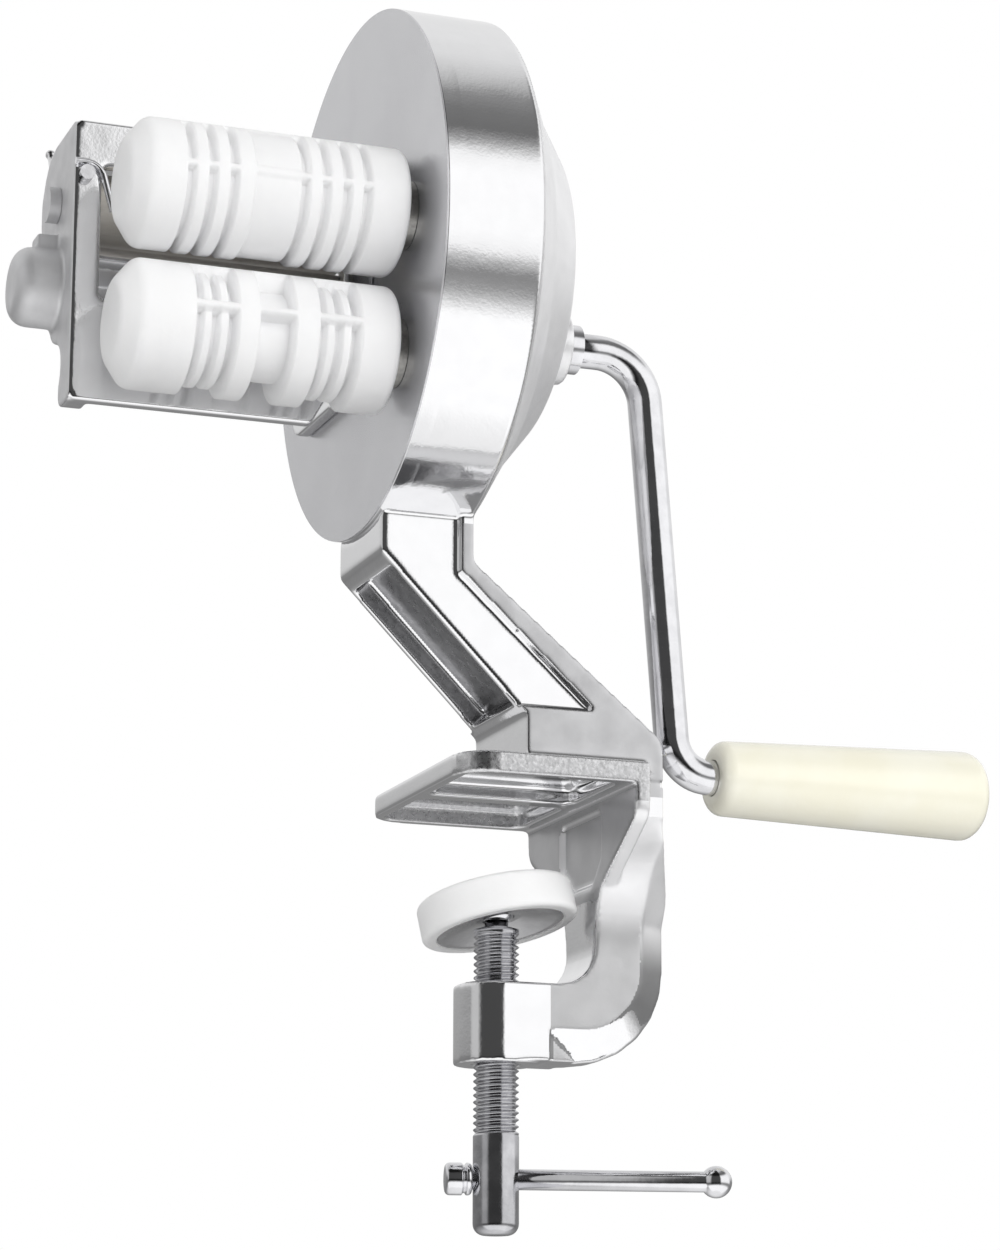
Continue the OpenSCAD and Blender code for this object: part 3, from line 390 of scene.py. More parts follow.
# %% Other finishes
matt_sheet = finish(
    "matt_sheet", dark=(0.66, 0.66, 0.68), light=(0.69, 0.69, 0.71),
    grain=14 * MM, gloss=(0.25, 0.27), metal=0.7,
    bumps=[(0.35 * MM, 0.01 * MM)],
)
plated_steel = finish(
    "plated_steel", dark=(0.74, 0.74, 0.76), light=(0.84, 0.84, 0.86),
    grain=5 * MM, gloss=(0.06, 0.13), metal=1.0,
    bumps=[(6 * MM, 0.02 * MM)],
)
screw_steel = finish(
    "screw_steel", dark=(0.50, 0.50, 0.52), light=(0.64, 0.64, 0.66),
    grain=4 * MM, gloss=(0.12, 0.20), metal=1.0,
    bumps=[(5 * MM, 0.02 * MM)],
)
pressed_steel = finish(
    "pressed_steel", dark=(0.50, 0.50, 0.51), light=(0.60, 0.60, 0.61),
    grain=6 * MM, gloss=(0.18, 0.26), metal=1.0,
    bumps=[(8 * MM, 0.03 * MM)],
)
machined_steel = finish(
    "machined_steel", dark=(0.36, 0.36, 0.38), light=(0.48, 0.48, 0.50),
    grain=2 * MM, gloss=(0.25, 0.42), metal=1.0,
    bumps=[(0.5 * MM, 0.01 * MM)],
)
bearing_bronze = finish(
    "bearing_bronze", dark=(0.42, 0.41, 0.39), light=(0.54, 0.53, 0.50),
    grain=1 * MM, gloss=(0.30, 0.50), metal=1.0,
    bumps=[(0.4 * MM, 0.02 * MM)],
)
moulded_white = finish(
    "moulded_white", dark=(0.91, 0.91, 0.92), light=(0.95, 0.95, 0.955),
    grain=12 * MM, gloss=(0.32, 0.42), metal=0.0,
    bumps=[(1.2 * MM, 0.01 * MM)],
    Subsurface_Weight=0.7, Subsurface_Scale=0.0028, Subsurface_Radius=(1, 1, 1),
)
milky_plastic = finish(
    "milky_plastic", dark=(0.92, 0.92, 0.92), light=(0.94, 0.94, 0.94),
    grain=9 * MM, gloss=(0.30, 0.34), metal=0.0,
    bumps=[(1.5 * MM, 0.012 * MM)],
    Subsurface_Weight=0.3, Subsurface_Scale=0.003, Subsurface_Radius=(1, 1, 1),
)
ivory_plastic = finish(
    "ivory_plastic", dark=(0.95, 0.92, 0.76), light=(0.98, 0.96, 0.83),
    grain=16 * MM, gloss=(0.16, 0.24), metal=0.0,
    bumps=[(7 * MM, 0.03 * MM), (0.8 * MM, 0.006 * MM)],
    Coat_Weight=0.4, Coat_Roughness=0.08,
)
turned_wood = finish(
    "turned_wood", dark=(0.74, 0.70, 0.63), light=(0.84, 0.81, 0.75),
    grain=2.5 * MM, gloss=(0.40, 0.55), metal=0.0,
    bumps=[(0.6 * MM, 0.04 * MM)], stretch=(0.12, 1, 1),
)
pale_floor = finish(
    "pale_floor", dark=(0.86, 0.86, 0.86), light=(0.90, 0.90, 0.90),
    grain=0.3, gloss=(0.7, 0.8), metal=0.0, bumps=[(0.01, 0.1 * MM)]
)
floor_mesh.materials.append(pale_floor)
print("all finishes:", len(bpy.data.materials))

# %% [markdown]
# ## Tools for making pieces
# Three ways make nearly all pieces. A cast or moulded piece starts as a copy of its solid, which
# a voxel remesh turns into an even skin that can be smoothed, so every edge gets the small radius
# of a real casting. A turned piece is a profile spun round an axis. A bent rod is a ring carried
# along a line.

# %% Piece tools
WELD_WITHIN = 1e-6
THINNEST_R = 1e-5
NEAR_UPRIGHT = 0.9


def add_piece(name, mesh, material, body, slot, *stands_for):
    """Makes a mesh a piece: smooth shading, finish, body and the solids it replaces. Its slot is
    not used.
    """
    mesh.polygons.foreach_set("use_smooth", [True] * len(mesh.polygons))
    mesh.materials.clear()
    mesh.materials.append(material)
    piece = bpy.data.objects.new(name, mesh)
    bpy.context.scene.collection.objects.link(piece)
    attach(piece, body)
    if stands_for:
        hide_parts(*stands_for)
    print(f"{name}: {len(mesh.vertices)} points, rides on {body}")


def soft_skin(solid, voxel, passes, strength=0.5):
    """Copy of a solid as an even skin of small quads, smoothed so that its edges turn round."""
    mesh = solids[solid].data.copy()
    shape = bmesh.new()
    shape.from_mesh(mesh)
    bmesh.ops.remove_doubles(shape, verts=shape.verts, dist=WELD_WITHIN)
    shape.to_mesh(mesh)
    shape.free()
    form = bpy.data.objects.new("form", mesh)
    bpy.context.scene.collection.objects.link(form)
    skin = form.modifiers.new("skin", "REMESH")
    skin.mode = "VOXEL"
    skin.voxel_size = voxel
    skin.adaptivity = 0
    soften = form.modifiers.new("soften", "SMOOTH")
    soften.factor = strength
    soften.iterations = passes
    bpy.context.view_layer.update()
    ready = form.evaluated_get(bpy.context.evaluated_depsgraph_get())
    result = bpy.data.meshes.new_from_object(ready)
    bpy.data.objects.remove(form)
    return result


def rounded(corners, steps=6):
    """Outline from (x, y, radius) corners, each turned into an arc; radius 0 keeps it sharp."""
    points = []
    for i, (x, y, r) in enumerate(corners):
        at = Vector((x, y))
        if r == 0 or i in (0, len(corners) - 1):
            points.append(at)
            continue
        u = (Vector(corners[i - 1][:2]) - at).normalized()
        v = (Vector(corners[i + 1][:2]) - at).normalized()
        half = u.angle(v) / 2
        centre = at + (u + v).normalized() * r / math.sin(half)
        start = at + u * r / math.tan(half) - centre
        end = at + v * r / math.tan(half) - centre
        sweep = start.angle_signed(end)
        for k in range(steps + 1):
            turn = -sweep * k / steps
            points.append(centre + Vector((
                start.x * math.cos(turn) - start.y * math.sin(turn),
                start.x * math.sin(turn) + start.y * math.cos(turn),
            )))
    return points


def ring_frame(along):
    """Two directions square to a line's direction."""
    side = Vector((0, 0, 1)) if abs(along.z) < NEAR_UPRIGHT else Vector((0, 1, 0))
    first = along.cross(side).normalized()
    return first, along.cross(first)


def skin_rings(name, rings, looped=False):
    """Closed mesh over equal rings: fans cover the ends, or in a loop the last meets the first."""
    count = len(rings[0])
    points = [p for ring in rings for p in ring]
    faces = []
    for i in range(len(rings) if looped else len(rings) - 1):
        row, next_row = i * count, (i + 1) % len(rings) * count
        for k in range(count):
            k_next = (k + 1) % count
            faces.append((row + k, row + k_next, next_row + k_next, next_row + k))
    if not looped:
        for ring, flip in ((0, True), (len(rings) - 1, False)):
            middle = sum((Vector(p) for p in rings[ring]), Vector()) / count
            points.append(middle)
            for k in range(count):
                a, b = ring * count + k, ring * count + (k + 1) % count
                faces.append((b, a, len(points) - 1) if flip else (a, b, len(points) - 1))
    mesh = bpy.data.meshes.new(name)
    mesh.from_pydata([tuple(p) for p in points], [], faces)
    shape = bmesh.new()
    shape.from_mesh(mesh)
    bmesh.ops.recalc_face_normals(shape, faces=shape.faces)
    shape.to_mesh(mesh)
    shape.free()
    return mesh


def turned(name, profile, start, along, count=96, looped=False):
    """Mesh of a profile of (radius, distance) points spun round an axis."""
    along = Vector(along).normalized()
    first, second = ring_frame(along)
    rings = []
    for radius, distance in profile:
        radius = max(radius, THINNEST_R)
        middle = Vector(start) + along * distance
        rings.append([
            middle + (first * math.cos(a) + second * math.sin(a)) * radius
            for a in (2 * math.pi * k / count for k in range(count))
        ])
    return skin_rings(name, rings, looped)


print("piece tools ready")

# %% [markdown]
# ## The casting
# Drum, arm, foot, leg and screw boss are one polished casting. Its solid has sharp edges, so it
# gets a soft skin. A voxel skin is never quite true on a large curve, and polish would show it, so
# the points near the drum's rim are then put back exactly on the turned profile.

# %% Casting
cover_low, cover_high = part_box("cover_plate")
DRUM_AXIS_Z = (cover_low.z + cover_high.z) / 2
DRUM_R = (cover_high.z - cover_low.z) / 2
DRUM_FACE_X = cover_low.x
DRUM_W = 22 * MM
RIM_EDGE_R = 0.8 * MM
LIP_START, LIP_END = 0.25 * MM, 5 * MM
ARM_HALF = 16.5 * MM
ARM_FADE = 5 * MM
CASTING_VOXEL, CASTING_PASSES = 0.5 * MM, 10
RIM_REACH = 0.45 * MM
TINY = 1e-9


def true_rim(mesh, reach):
    """Puts points within reach of the drum's rim exactly on its cylinder or rounded back edge."""
    count = len(mesh.vertices)
    place = np.empty(count * 3)
    mesh.vertices.foreach_get("co", place)
    place = place.reshape(-1, 3)
    x = place[:, 0] - DRUM_FACE_X
    y, z = place[:, 1], place[:, 2] - DRUM_AXIS_Z
    radius = np.hypot(y, z)
    arc_x, arc_r = x - (DRUM_W - RIM_EDGE_R), radius - (DRUM_R - RIM_EDGE_R)
    on_edge = (arc_x > 0) & (arc_r > 0)
    stretch = RIM_EDGE_R / np.maximum(np.hypot(arc_x, arc_r), TINY)
    true_r = np.where(on_edge, DRUM_R - RIM_EDGE_R + arc_r * stretch, DRUM_R)
    true_x = np.where(on_edge, DRUM_W - RIM_EDGE_R + arc_x * stretch, x)
    off = np.hypot(true_r - radius, true_x - x)
    free_of_arm = np.clip((np.abs(y) - ARM_HALF) / ARM_FADE, 0, 1)
    free_of_arm = np.where(z > 0, 1, free_of_arm)
    share = np.where((off < reach) & (x > LIP_START), free_of_arm, 0)
    new_r = radius + (true_r - radius) * share
    place[:, 0] += (true_x - x) * share
    place[:, 1] *= new_r / np.maximum(radius, TINY)
    place[:, 2] = DRUM_AXIS_Z + z * new_r / np.maximum(radius, TINY)
    mesh.vertices.foreach_set("co", place.reshape(-1))
    mesh.update()
    return int((share > 0).sum())


casting_skin = soft_skin("gear_housing", CASTING_VOXEL, CASTING_PASSES)
print("points put back on the rim:", true_rim(casting_skin, RIM_REACH))
add_piece("casting", casting_skin, polished_casting, "frame", "cast_aluminium", "gear_housing")

# %% [markdown]
# The finish of each face of the casting follows from where the face lies and which way it looks.
# The limits below are parts of a normal: 1 looks straight along an axis, 0 looks square to it.

# %% Faces that the polish left, and faces with painted shade and reflection
POLISHED, ROUGH, DULL_AND_SHADE, MOULD_AND_SHADE, SATIN, EDGE = range(6)
FOOT_EDGE_Y = 20 * MM
FOOT_EDGE_Z = (-22 * MM, 9 * MM)
LOWER_ARM_Z = -37 * MM
LOWER_ARM_X = 9 * MM
LEG_TOP_Z = -4 * MM
CHANNEL_HALF = 12.4 * MM
CHANNEL_ENDS = ((-32.4 * MM, 51 * MM), (0.9 * MM, 17 * MM))
CHANNEL_GAPS = (3 * MM, 2 * MM)
CHANNEL_FLOOR = 3.5 * MM
PANEL_HALF = 15.5 * MM
FLAT_SIDE = 0.93
PART_SIDE = 0.25
CHANNEL_FACING = 0.4
OUTER_EDGE = 0.15
OUTER_BEND = 0.35


def in_channel(centre):
    """True for faces on the floor of the channel under the slanted arm."""
    (x0, z0), (x1, z1) = CHANNEL_ENDS
    length = math.hypot(x1 - x0, z1 - z0)
    along = ((centre.x - x0) * (x1 - x0) + (centre.z - z0) * (z1 - z0)) / length
    inward = ((centre.x - x0) * (z0 - z1) + (centre.z - z0) * (x1 - x0)) / length
    off_ends = CHANNEL_GAPS[0] < along < length - CHANNEL_GAPS[1]
    return off_ends and CHANNEL_FLOOR < inward < 2 * CHANNEL_FLOOR


def finish_of_face(centre, normal):
    """Finish of a face: polished, unless the polish didn't reach it, with painted shade in the
    channel and below the foot and a painted dark reflection on the leg.
    """
    # The channel's floor is mould skin darkened by painted shade.
    if normal.x < -CHANNEL_FACING and abs(centre.y) < CHANNEL_HALF and in_channel(centre):
        return MOULD_AND_SHADE
    # The leg's outer edge darkens most, with a painted dark reflection.
    on_leg = centre.z < LEG_TOP_Z and centre.x > LOWER_ARM_X
    looks_out = normal.x > OUTER_EDGE and normal.z > -OUTER_BEND
    if on_leg and looks_out and abs(normal.y) > PART_SIDE:
        return EDGE
    # The leg's sides and the drum's back are satin; on the leg a painted dark reflection darkens
    # them downwards.
    on_back = centre.x > DRUM_FACE_X + DRUM_W and centre.z > DRUM_AXIS_Z - DRUM_R
    leg_side = PART_SIDE if centre.z > LOWER_ARM_Z else FLAT_SIDE
    if on_back or (on_leg and abs(normal.y) > leg_side):
        return SATIN
    # Faces looking left below the foot are dull, and their darker colour is painted shade from the
    # foot.
    if normal.x < -FLAT_SIDE and FOOT_EDGE_Z[0] < centre.z < 0:
        return DULL_AND_SHADE
    on_foot_edge = abs(centre.y) > FOOT_EDGE_Y and FOOT_EDGE_Z[0] < centre.z < FOOT_EDGE_Z[1]
    if on_foot_edge and abs(normal.y) > PART_SIDE:
        return ROUGH
    on_rim = PANEL_HALF < abs(centre.y) < FOOT_EDGE_Y and 0 < centre.z < DRUM_AXIS_Z - DRUM_R
    return DULL_AND_SHADE if on_rim and abs(normal.y) >= FLAT_SIDE else POLISHED


for other_finish in (rough_casting, dull_and_painted_shade, mould_skin_and_painted_shade, satin_with_painted_reflection, edge_with_painted_reflection):
    casting_skin.materials.append(other_finish)
left = [finish_of_face(face.center, face.normal) for face in casting_skin.polygons]
casting_skin.polygons.foreach_set("material_index", left)
counts = [left.count(kind) for kind in (ROUGH, DULL_AND_SHADE, MOULD_AND_SHADE, SATIN, EDGE)]
print("faces left rough, dull, unpolished, satin and outer edge:", counts)

# %% [markdown]
# A thin turned lip brings the rim flush with the cover plate, as in the photo, where no joint shows
# between the two. Both ends of its profile dive into the casting, so it leaves no line there.

# %% Rim lip
# (mm above the rim, mm behind the lip's start or end)
LIP_FRONT = [(-1.5, 0), (-0.2, 0), (0.03, 0.2), (0.03, 0.3)]
LIP_BACK = [(0.03, -2.4), (0.03, -1.2), (-0.02, 0), (-0.03, 0.4), (-0.2, 0.5), (-1.5, 0.5)]
LIP_COUNT = 360

lip_profile = [(DRUM_R + up * MM, LIP_START + far * MM) for up, far in LIP_FRONT]
lip_profile += [(DRUM_R + up * MM, LIP_END + far * MM) for up, far in LIP_BACK]
drum_face = Vector((DRUM_FACE_X, 0, DRUM_AXIS_Z))
lip_mesh = turned("rim_lip", lip_profile, drum_face, (1, 0, 0), count=LIP_COUNT, looped=True)
add_piece("rim_lip", lip_mesh, polished_casting, "frame", "cast_aluminium")

# %% [markdown]
# ## The cover plate
# A flat sheet disc closes the drum. Its solid is right as it is; a small bevel breaks the edge.

# %% Cover plate
BEVEL_STEPS = 2
BEVEL_FROM = math.radians(40)


def keep_solid(node, material, edge=0.0):
    """Shows a CAD solid as it is, with a finish and, if asked, a small bevel on its edges."""
    solid = solids[node]
    solid.data.materials.clear()
    solid.data.materials.append(material)
    if edge:
        bevel = solid.modifiers.new("edge", "BEVEL")
        bevel.width = edge
        bevel.segments = BEVEL_STEPS
        bevel.limit_method = "ANGLE"
        bevel.angle_limit = BEVEL_FROM
        bevel.harden_normals = True


keep_solid("cover_plate", matt_sheet, edge=0.25 * MM)
print("cover plate across:", round(2 * DRUM_R / MM), "mm")

# %% [markdown]
# ## The roller bracket
# The bracket behind the cutters is a second, smaller casting with the same polish, made the same
# way, but its end plate and bearing boss are left sandy. Its bent wire and the rollers behind its
# window keep their solids.

# %% Bracket
BRACKET_VOXEL, BRACKET_PASSES = 0.45 * MM, 6
END_PLATE_W = 10.3 * MM

bracket_skin = soft_skin("roller_bracket", BRACKET_VOXEL, BRACKET_PASSES)
add_piece("bracket", bracket_skin, polished_casting, "frame", "cast_aluminium", "roller_bracket")
end_plate_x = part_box("roller_bracket")[0].x + END_PLATE_W
bracket_skin.materials.append(sand_casting)
left = [int(face.center.x < end_plate_x) for face in bracket_skin.polygons]
bracket_skin.polygons.foreach_set("material_index", left)
print("bracket faces left sandy at its end:", sum(left))

# %% [markdown]
# ## The cutters
# The two rollers press the dough between their ribs and part it with a thin blade. Each is drawn
# as a grid of length against angle: a domed roller, less its ring grooves, which stop at a full
# strip along the top, plus the blade. The grooves fade in over about half a millimetre, as moulded
# edges do.

# %% Cutters
DOME_H = 4 * MM
DOME_FLAT = 5 * MM
DOME_EDGE_R, SHOULDER_R, BACK_EDGE_R = 4 * MM, 3 * MM, 1.5 * MM
OUTLINE_STEPS = 10
END_POINT_R = 0.01 * MM
STRIP_MIDDLE, STRIP_HALF = 90, 23
SOFT_EDGE = 0.45 * MM
SOFT_TURN = 2.5
ROW_STEP = 0.25 * MM
BLADE_HALF = 0.9 * MM
BLADE_INSET = 11 * MM
BLADE_SHY = 0.05 * MM


def inside(value, low, high, soft):
    """1 between low and high, 0 outside, with a soft step at both."""
    rise = np.clip((value - low) / soft + 0.5, 0, 1)
    fall = np.clip((high - value) / soft + 0.5, 0, 1)
    share = np.minimum(rise, fall)
    return share * share * (3 - 2 * share)


def cutter_mesh(name, cuts, blade_angle, count=240):
    """Roller with (start, width, depth) cuts from its free end, and a blade at an angle."""
    low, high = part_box(name)
    length, radius = high.x - low.x, (high.z - low.z) / 2
    axis_y, axis_z = (low.y + high.y) / 2, (low.z + high.z) / 2
    outline = rounded([
        (0, 0, 0), (0, radius - DOME_FLAT, DOME_EDGE_R), (DOME_H, radius, SHOULDER_R),
        (length, radius, BACK_EDGE_R), (length, 0, 0),
    ], steps=OUTLINE_STEPS)
    far, full = np.array([p.x for p in outline]), np.array([p.y for p in outline])
    ends = np.argmax(np.diff(far))
    middle = np.arange(far[ends], far[ends + 1], ROW_STEP)[1:]
    far = np.concatenate([far[:ends + 1], middle, far[ends + 1:]])
    full = np.concatenate([full[:ends + 1], np.full(len(middle), radius), full[ends + 1:]])
    angle = np.arange(count) * 360 / count
    off_strip = 1 - inside(angle, STRIP_MIDDLE - STRIP_HALF, STRIP_MIDDLE + STRIP_HALF, SOFT_TURN)
    depth = np.zeros(len(far))
    for start, width, cut in cuts:
        depth = np.maximum(depth, cut * inside(far, start, start + width, SOFT_EDGE))
    blade_turn = math.degrees(BLADE_HALF / radius)
    blade = np.outer(
        inside(far, BLADE_INSET, length - BLADE_INSET + DOME_H, SOFT_EDGE),
        inside(angle, blade_angle - blade_turn, blade_angle + blade_turn, SOFT_TURN),
    )
    cut = np.outer(depth, off_strip)
    reach = np.maximum(full[:, None] - cut * (1 - blade) - BLADE_SHY * blade, END_POINT_R)
    turn = np.radians(angle)
    rings = [
        [(low.x + x, axis_y + r * math.cos(a), axis_z + r * math.sin(a)) for r, a in zip(row, turn)]
        for x, row in zip(far, reach)
    ]
    return skin_rings(name, rings)


# cuts are (start, width, depth) from the free end
GROOVE_W, GROOVE_PITCH, GROOVE_DEPTH = 1.7 * MM, 4.6 * MM, 2.6 * MM
RIB_PITCH, RIB_DROP = 3.6 * MM, 1.8 * MM
UPPER_GROOVES = ((11.2 * MM, 3), (36 * MM, 4))
UPPER_PANEL = (25.8 * MM, 10.2 * MM, 0.7 * MM)
LOWER_GAP = (29.3 * MM, 7.6 * MM, RIB_DROP + GROOVE_DEPTH)
LOWER_STARTS = (15.5 * MM, 42.5 * MM)
UPPER_BLADE, LOWER_BLADE = 176, 172

upper_cuts = [UPPER_PANEL]
for start, number in UPPER_GROOVES:
    upper_cuts += [(start + i * GROOVE_PITCH, GROOVE_W, GROOVE_DEPTH) for i in range(number)]
lower_cuts = [LOWER_GAP]
for start in LOWER_STARTS:
    lower_cuts += [(start, 2 * RIB_PITCH + GROOVE_W, RIB_DROP)]
    lower_cuts += [(start + i * RIB_PITCH, GROOVE_W, RIB_DROP + GROOVE_DEPTH) for i in range(3)]
for name, cuts, blade_angle in (
    ("upper_cutter", upper_cuts, UPPER_BLADE), ("lower_cutter", lower_cuts, LOWER_BLADE),
):
    roller = cutter_mesh(name, cuts, blade_angle)
    add_piece(name + "_roller", roller, moulded_white, name, "white_plastic", name)

# %% [markdown]
# ## The crank
# One plated rod is bent twice. Its middle line is drawn from the solid's own box: along the shaft's
# axis, down the leaning leg and out along the grip's spindle. A ring swept along that line makes a
# rod without the seams that joined cylinders have.

# %% Crank rod
rod_low, rod_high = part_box("crank_rod")
ROD_R = (rod_high.y - rod_low.y) / 2
ROD_Y = (rod_high.y + rod_low.y) / 2
SHAFT_Z = rod_high.z - ROD_R
SPINDLE_Z = rod_low.z + ROD_R
CRANK_LEAN = math.radians(4.3)
LEG_AT_SHAFT_X = DRUM_FACE_X + 70.2 * MM
UPPER_BEND_R = 12 * MM
LOWER_BEND_R = 9 * MM


def bent_line(corners, steps=14):
    """Line in XZ through (x, z, bend radius) corners, as points at the rod's depth."""
    return [Vector((p.x, ROD_Y, p.y)) for p in rounded(corners, steps)]


def swept(name, line, radius, count=40):
    """Round bar along a line."""
    rings = []
    for i, point in enumerate(line):
        along = (line[min(i + 1, len(line) - 1)] - line[max(i - 1, 0)]).normalized()
        first = Vector((0, 1, 0))
        second = along.cross(first)
        rings.append([
            point + (first * math.cos(a) + second * math.sin(a)) * radius
            for a in (2 * math.pi * k / count for k in range(count))
        ])
    return skin_rings(name, rings)


leg_foot_x = LEG_AT_SHAFT_X + (SHAFT_Z - SPINDLE_Z) * math.tan(CRANK_LEAN)
rod_line = bent_line([
    (rod_low.x, SHAFT_Z, 0),
    (LEG_AT_SHAFT_X, SHAFT_Z, UPPER_BEND_R),
    (leg_foot_x, SPINDLE_Z, LOWER_BEND_R),
    (rod_high.x, SPINDLE_Z, 0),
])
rod_mesh = swept("crank_bar", rod_line, ROD_R)
add_piece("crank_bar", rod_mesh, plated_steel, "crank", "chrome", "crank_rod")
keep_solid("main_shaft", plated_steel, edge=0.3 * MM)

# %% [markdown]
# ## The grip
# The ivory grip is a moulded tapered sleeve that spins on the rod. It is a turned profile with a
# faint parting line left by the mould along its top and its underside.

# %% Grip
grip_low, grip_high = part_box("handle_grip")
GRIP_LEN = grip_high.x - grip_low.x
GRIP_AXIS = Vector((grip_low.x, ROD_Y, SPINDLE_Z))
GRIP_SMALL_R = 8.5 * MM
GRIP_LARGE_R = 10.5 * MM
GRIP_PLAY = 0.1 * MM
BORE_R = ROD_R + GRIP_PLAY
BORE_DEPTH = 6 * MM
BORE_EDGE_R, SMALL_EDGE_R, LARGE_EDGE_R = 0.3 * MM, 3 * MM, 4.5 * MM
PARTING_RISE = 0.06 * MM
PARTING_FROM_R = BORE_R * 1.3
PARTING_WITHIN = 0.9985

grip_profile = rounded([
    (BORE_R, BORE_DEPTH, 0),
    (BORE_R, 0, BORE_EDGE_R),
    (GRIP_SMALL_R, 0, SMALL_EDGE_R),
    (GRIP_LARGE_R, GRIP_LEN, LARGE_EDGE_R),
    (0, GRIP_LEN, 0),
], steps=8)
grip_mesh = turned("grip", grip_profile, GRIP_AXIS, (1, 0, 0), count=128)
for point in grip_mesh.vertices:
    out = Vector((0, point.co.y - GRIP_AXIS.y, point.co.z - GRIP_AXIS.z))
    if out.length > PARTING_FROM_R and abs(out.normalized().z) > PARTING_WITHIN:
        point.co += out.normalized() * PARTING_RISE
add_piece("grip", grip_mesh, ivory_plastic, "grip", "ivory_plastic", "handle_grip")

# %% [markdown]
# ## The clamp screw
# The solid is a plain bar, because a thread belongs to looks. The bar is drawn here as a grid of
# height against angle, and the radius of each point follows the distance to the nearest crest of
# a helix, 1.5 mm a turn. The lower end stays smooth, where the tommy bar passes through it.

# %% Clamp screw
screw_low, screw_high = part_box("clamp_screw")
SCREW_R = (screw_high.x - screw_low.x) / 2
THREAD_PITCH = 1.5 * MM
THREAD_DEPTH = 0.75 * MM
THREAD_LOW = -73.5 * MM
THREAD_HIGH = -29.2 * MM
THREAD_FADE = 1.2 * MM
THREAD_ROUND = 0.8
NECK_STEPS = (0.7 * MM, 1.4 * MM)
NECK_R = 2.6 * MM
TIP_ROUND = 2.5 * MM
BAR_Z = screw_low.z + 12 * MM


def thread_radius(height, angle):
    """Radius of the screw at a height and angle: a rounded V along the helix, faded at its ends."""
    turn = (height / THREAD_PITCH - angle / (2 * math.pi)) % 1
    cut = (0.5 + 0.5 * math.cos(2 * math.pi * turn)) ** THREAD_ROUND
    to_end = min(height - THREAD_LOW, THREAD_HIGH - height)
    fade = min(1, max(0, to_end / THREAD_FADE))
    return SCREW_R - THREAD_DEPTH * cut * fade


def screw_rings(count=48, rows_a_turn=10):
    """Rings of the whole screw from its rounded tip to its neck."""
    circle = [2 * math.pi * k / count for k in range(count)]
    tip_corners = [(0, screw_low.z, 0), (SCREW_R, screw_low.z, TIP_ROUND), (SCREW_R, BAR_Z, 0)]
    tip = rounded(tip_corners, steps=8)
    rings = [[(p.x * math.cos(a), p.x * math.sin(a), p.y) for a in circle] for p in tip]
    rows = round((THREAD_HIGH - THREAD_LOW) / THREAD_PITCH * rows_a_turn)
    for i in range(rows + 1):
        height = THREAD_LOW + (THREAD_HIGH - THREAD_LOW) * i / rows
        reach = [thread_radius(height, a) for a in circle]
        rings.append([(math.cos(a) * r, math.sin(a) * r, height) for a, r in zip(circle, reach)])
    neck_start, neck_full = (THREAD_HIGH + step for step in NECK_STEPS)
    for r, height in ((SCREW_R, neck_start), (NECK_R, neck_full), (NECK_R, screw_high.z)):
        rings.append([(r * math.cos(a), r * math.sin(a), height) for a in circle])
    return rings


screw_mesh = skin_rings("thread_bar", screw_rings())
add_piece("thread_bar", screw_mesh, screw_steel, "screw", "chrome", "clamp_screw")

# %% [markdown]
# ## The tommy bar
# A thin bar slides through the screw's lower end. It has a turned ball on one end and a pressed-on
# head with a groove on the other.

# %% Tommy bar
bar_low, bar_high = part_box("tommy_bar")
head_low, head_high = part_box("tommy_head")
BAR_TURN = math.radians(-13)
BAR_ALONG = Vector((math.cos(BAR_TURN), math.sin(BAR_TURN), 0))
BAR_LEFT = -10.3 * MM
BAR_LEN = 62 * MM
HEAD_LEFT = -11.1 * MM
HEAD_LEN = 5.8 * MM
BALL_R = (bar_high.z - bar_low.z) / 2
HEAD_R = (head_high.z - head_low.z) / 2
BAR_R = 2.25 * MM
BALL_STEPS = 16
HEAD_NECK_R = HEAD_R - 0.5 * MM
HEAD_GROOVE = (0.62, 0.68, 0.74, 0.8)
screw_axis = Vector((0, 0, BAR_Z))

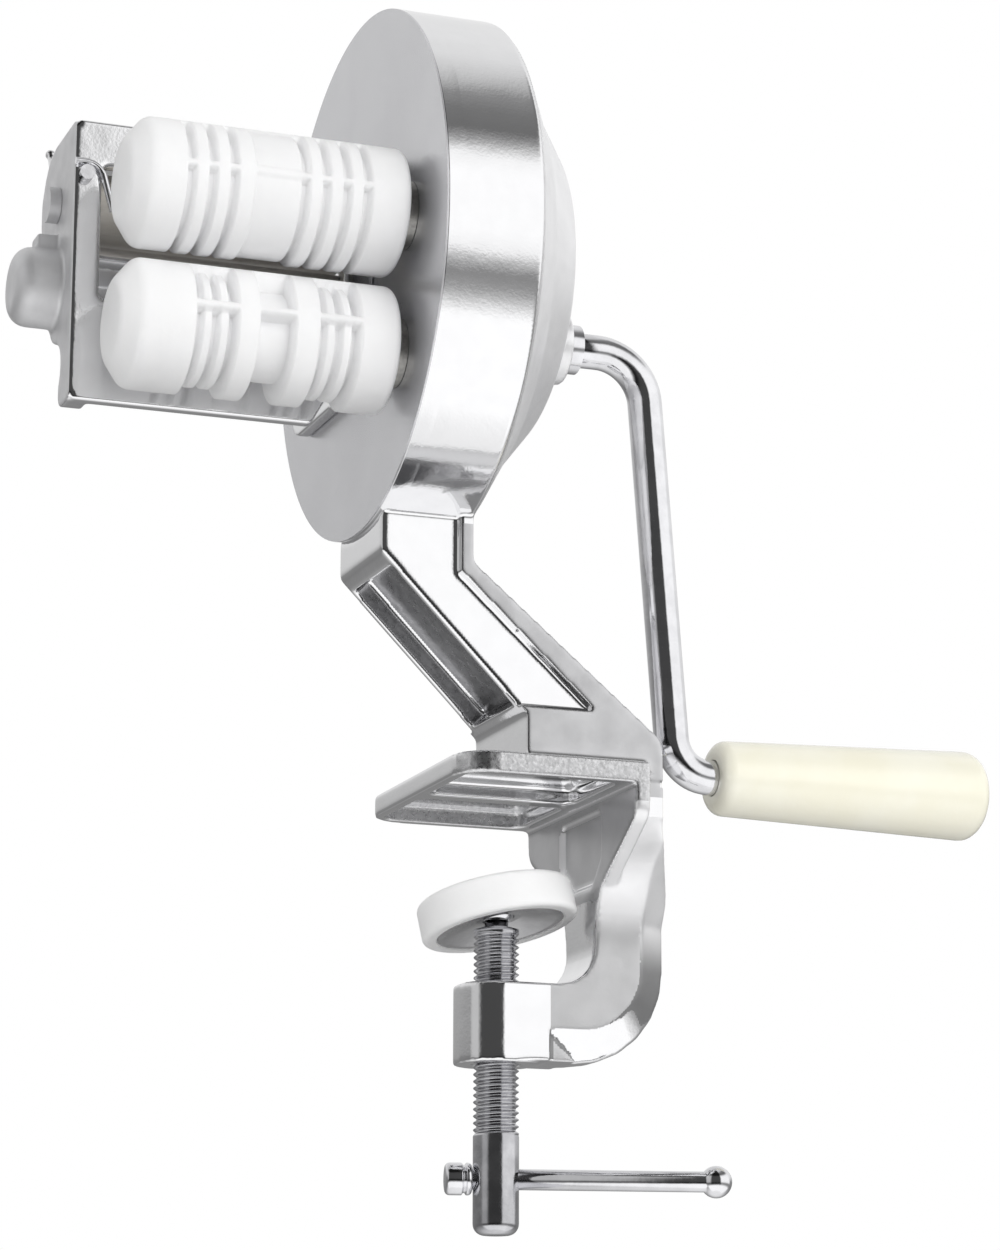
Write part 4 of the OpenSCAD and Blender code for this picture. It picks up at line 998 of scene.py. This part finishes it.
bar_profile = [(0, 0), (BAR_R, 0)]
meet = math.acos(BAR_R / BALL_R)
bar_len = BAR_LEN - BALL_R
for k in range(BALL_STEPS + 1):
    angle = math.pi / 2 + meet - (math.pi / 2 + meet) * k / BALL_STEPS
    bar_profile.append((BALL_R * math.sin(angle), bar_len + BALL_R * math.cos(angle)))
bar_start = screw_axis + BAR_ALONG * BAR_LEFT
bar_mesh = turned("handle_bar", bar_profile, bar_start, BAR_ALONG, count=48)
add_piece("handle_bar", bar_mesh, plated_steel, "tommy", "chrome", "tommy_bar")

wide_end, neck_start, neck_end, wide_again = (HEAD_LEN * share for share in HEAD_GROOVE)
head_profile = rounded([
    (0, 0, 0), (HEAD_R, 0, 1.0 * MM),
    (HEAD_R, wide_end, 0.3 * MM), (HEAD_NECK_R, neck_start, 0.2 * MM),
    (HEAD_NECK_R, neck_end, 0.2 * MM), (HEAD_R, wide_again, 0.3 * MM),
    (HEAD_R, HEAD_LEN, 0.8 * MM), (BAR_R, HEAD_LEN, 0),
], steps=4)
head_start = screw_axis + BAR_ALONG * HEAD_LEFT
head_mesh = turned("bar_head", head_profile, head_start, BAR_ALONG, count=48)
add_piece("bar_head", head_mesh, plated_steel, "tommy", "chrome", "tommy_head")

# %% [markdown]
# ## The clamp pad
# A milky plastic cap covers a metal dish that tilts on the screw's ball. Both solids are already
# turned shapes on the tilted axis, so they stay and take their finish.

# %% Pad and small pieces
keep_solid("pad_ring", milky_plastic, edge=0.3 * MM)
keep_solid("pad_cup", pressed_steel, edge=0.2 * MM)
keep_solid("idler_axle", sand_casting)
for node in (
    "swivel_ball", "idler_spring", "bracket_screws", "upper_cutter_shaft", "lower_cutter_shaft",
):
    keep_solid(node, plated_steel)
keep_solid("feed_roller", plated_steel, edge=0.4 * MM)
keep_solid("idler_roller", turned_wood, edge=0.5 * MM)
for node in ("drive_gear", "upper_gear", "lower_gear"):
    keep_solid(node, machined_steel)
for node in ("crank_bush", "upper_cutter_bush", "lower_cutter_bush", "feed_bush"):
    keep_solid(node, bearing_bronze, edge=0.2 * MM)
print("solids kept:", sum(not solid.hide_render for solid in solids.values()))
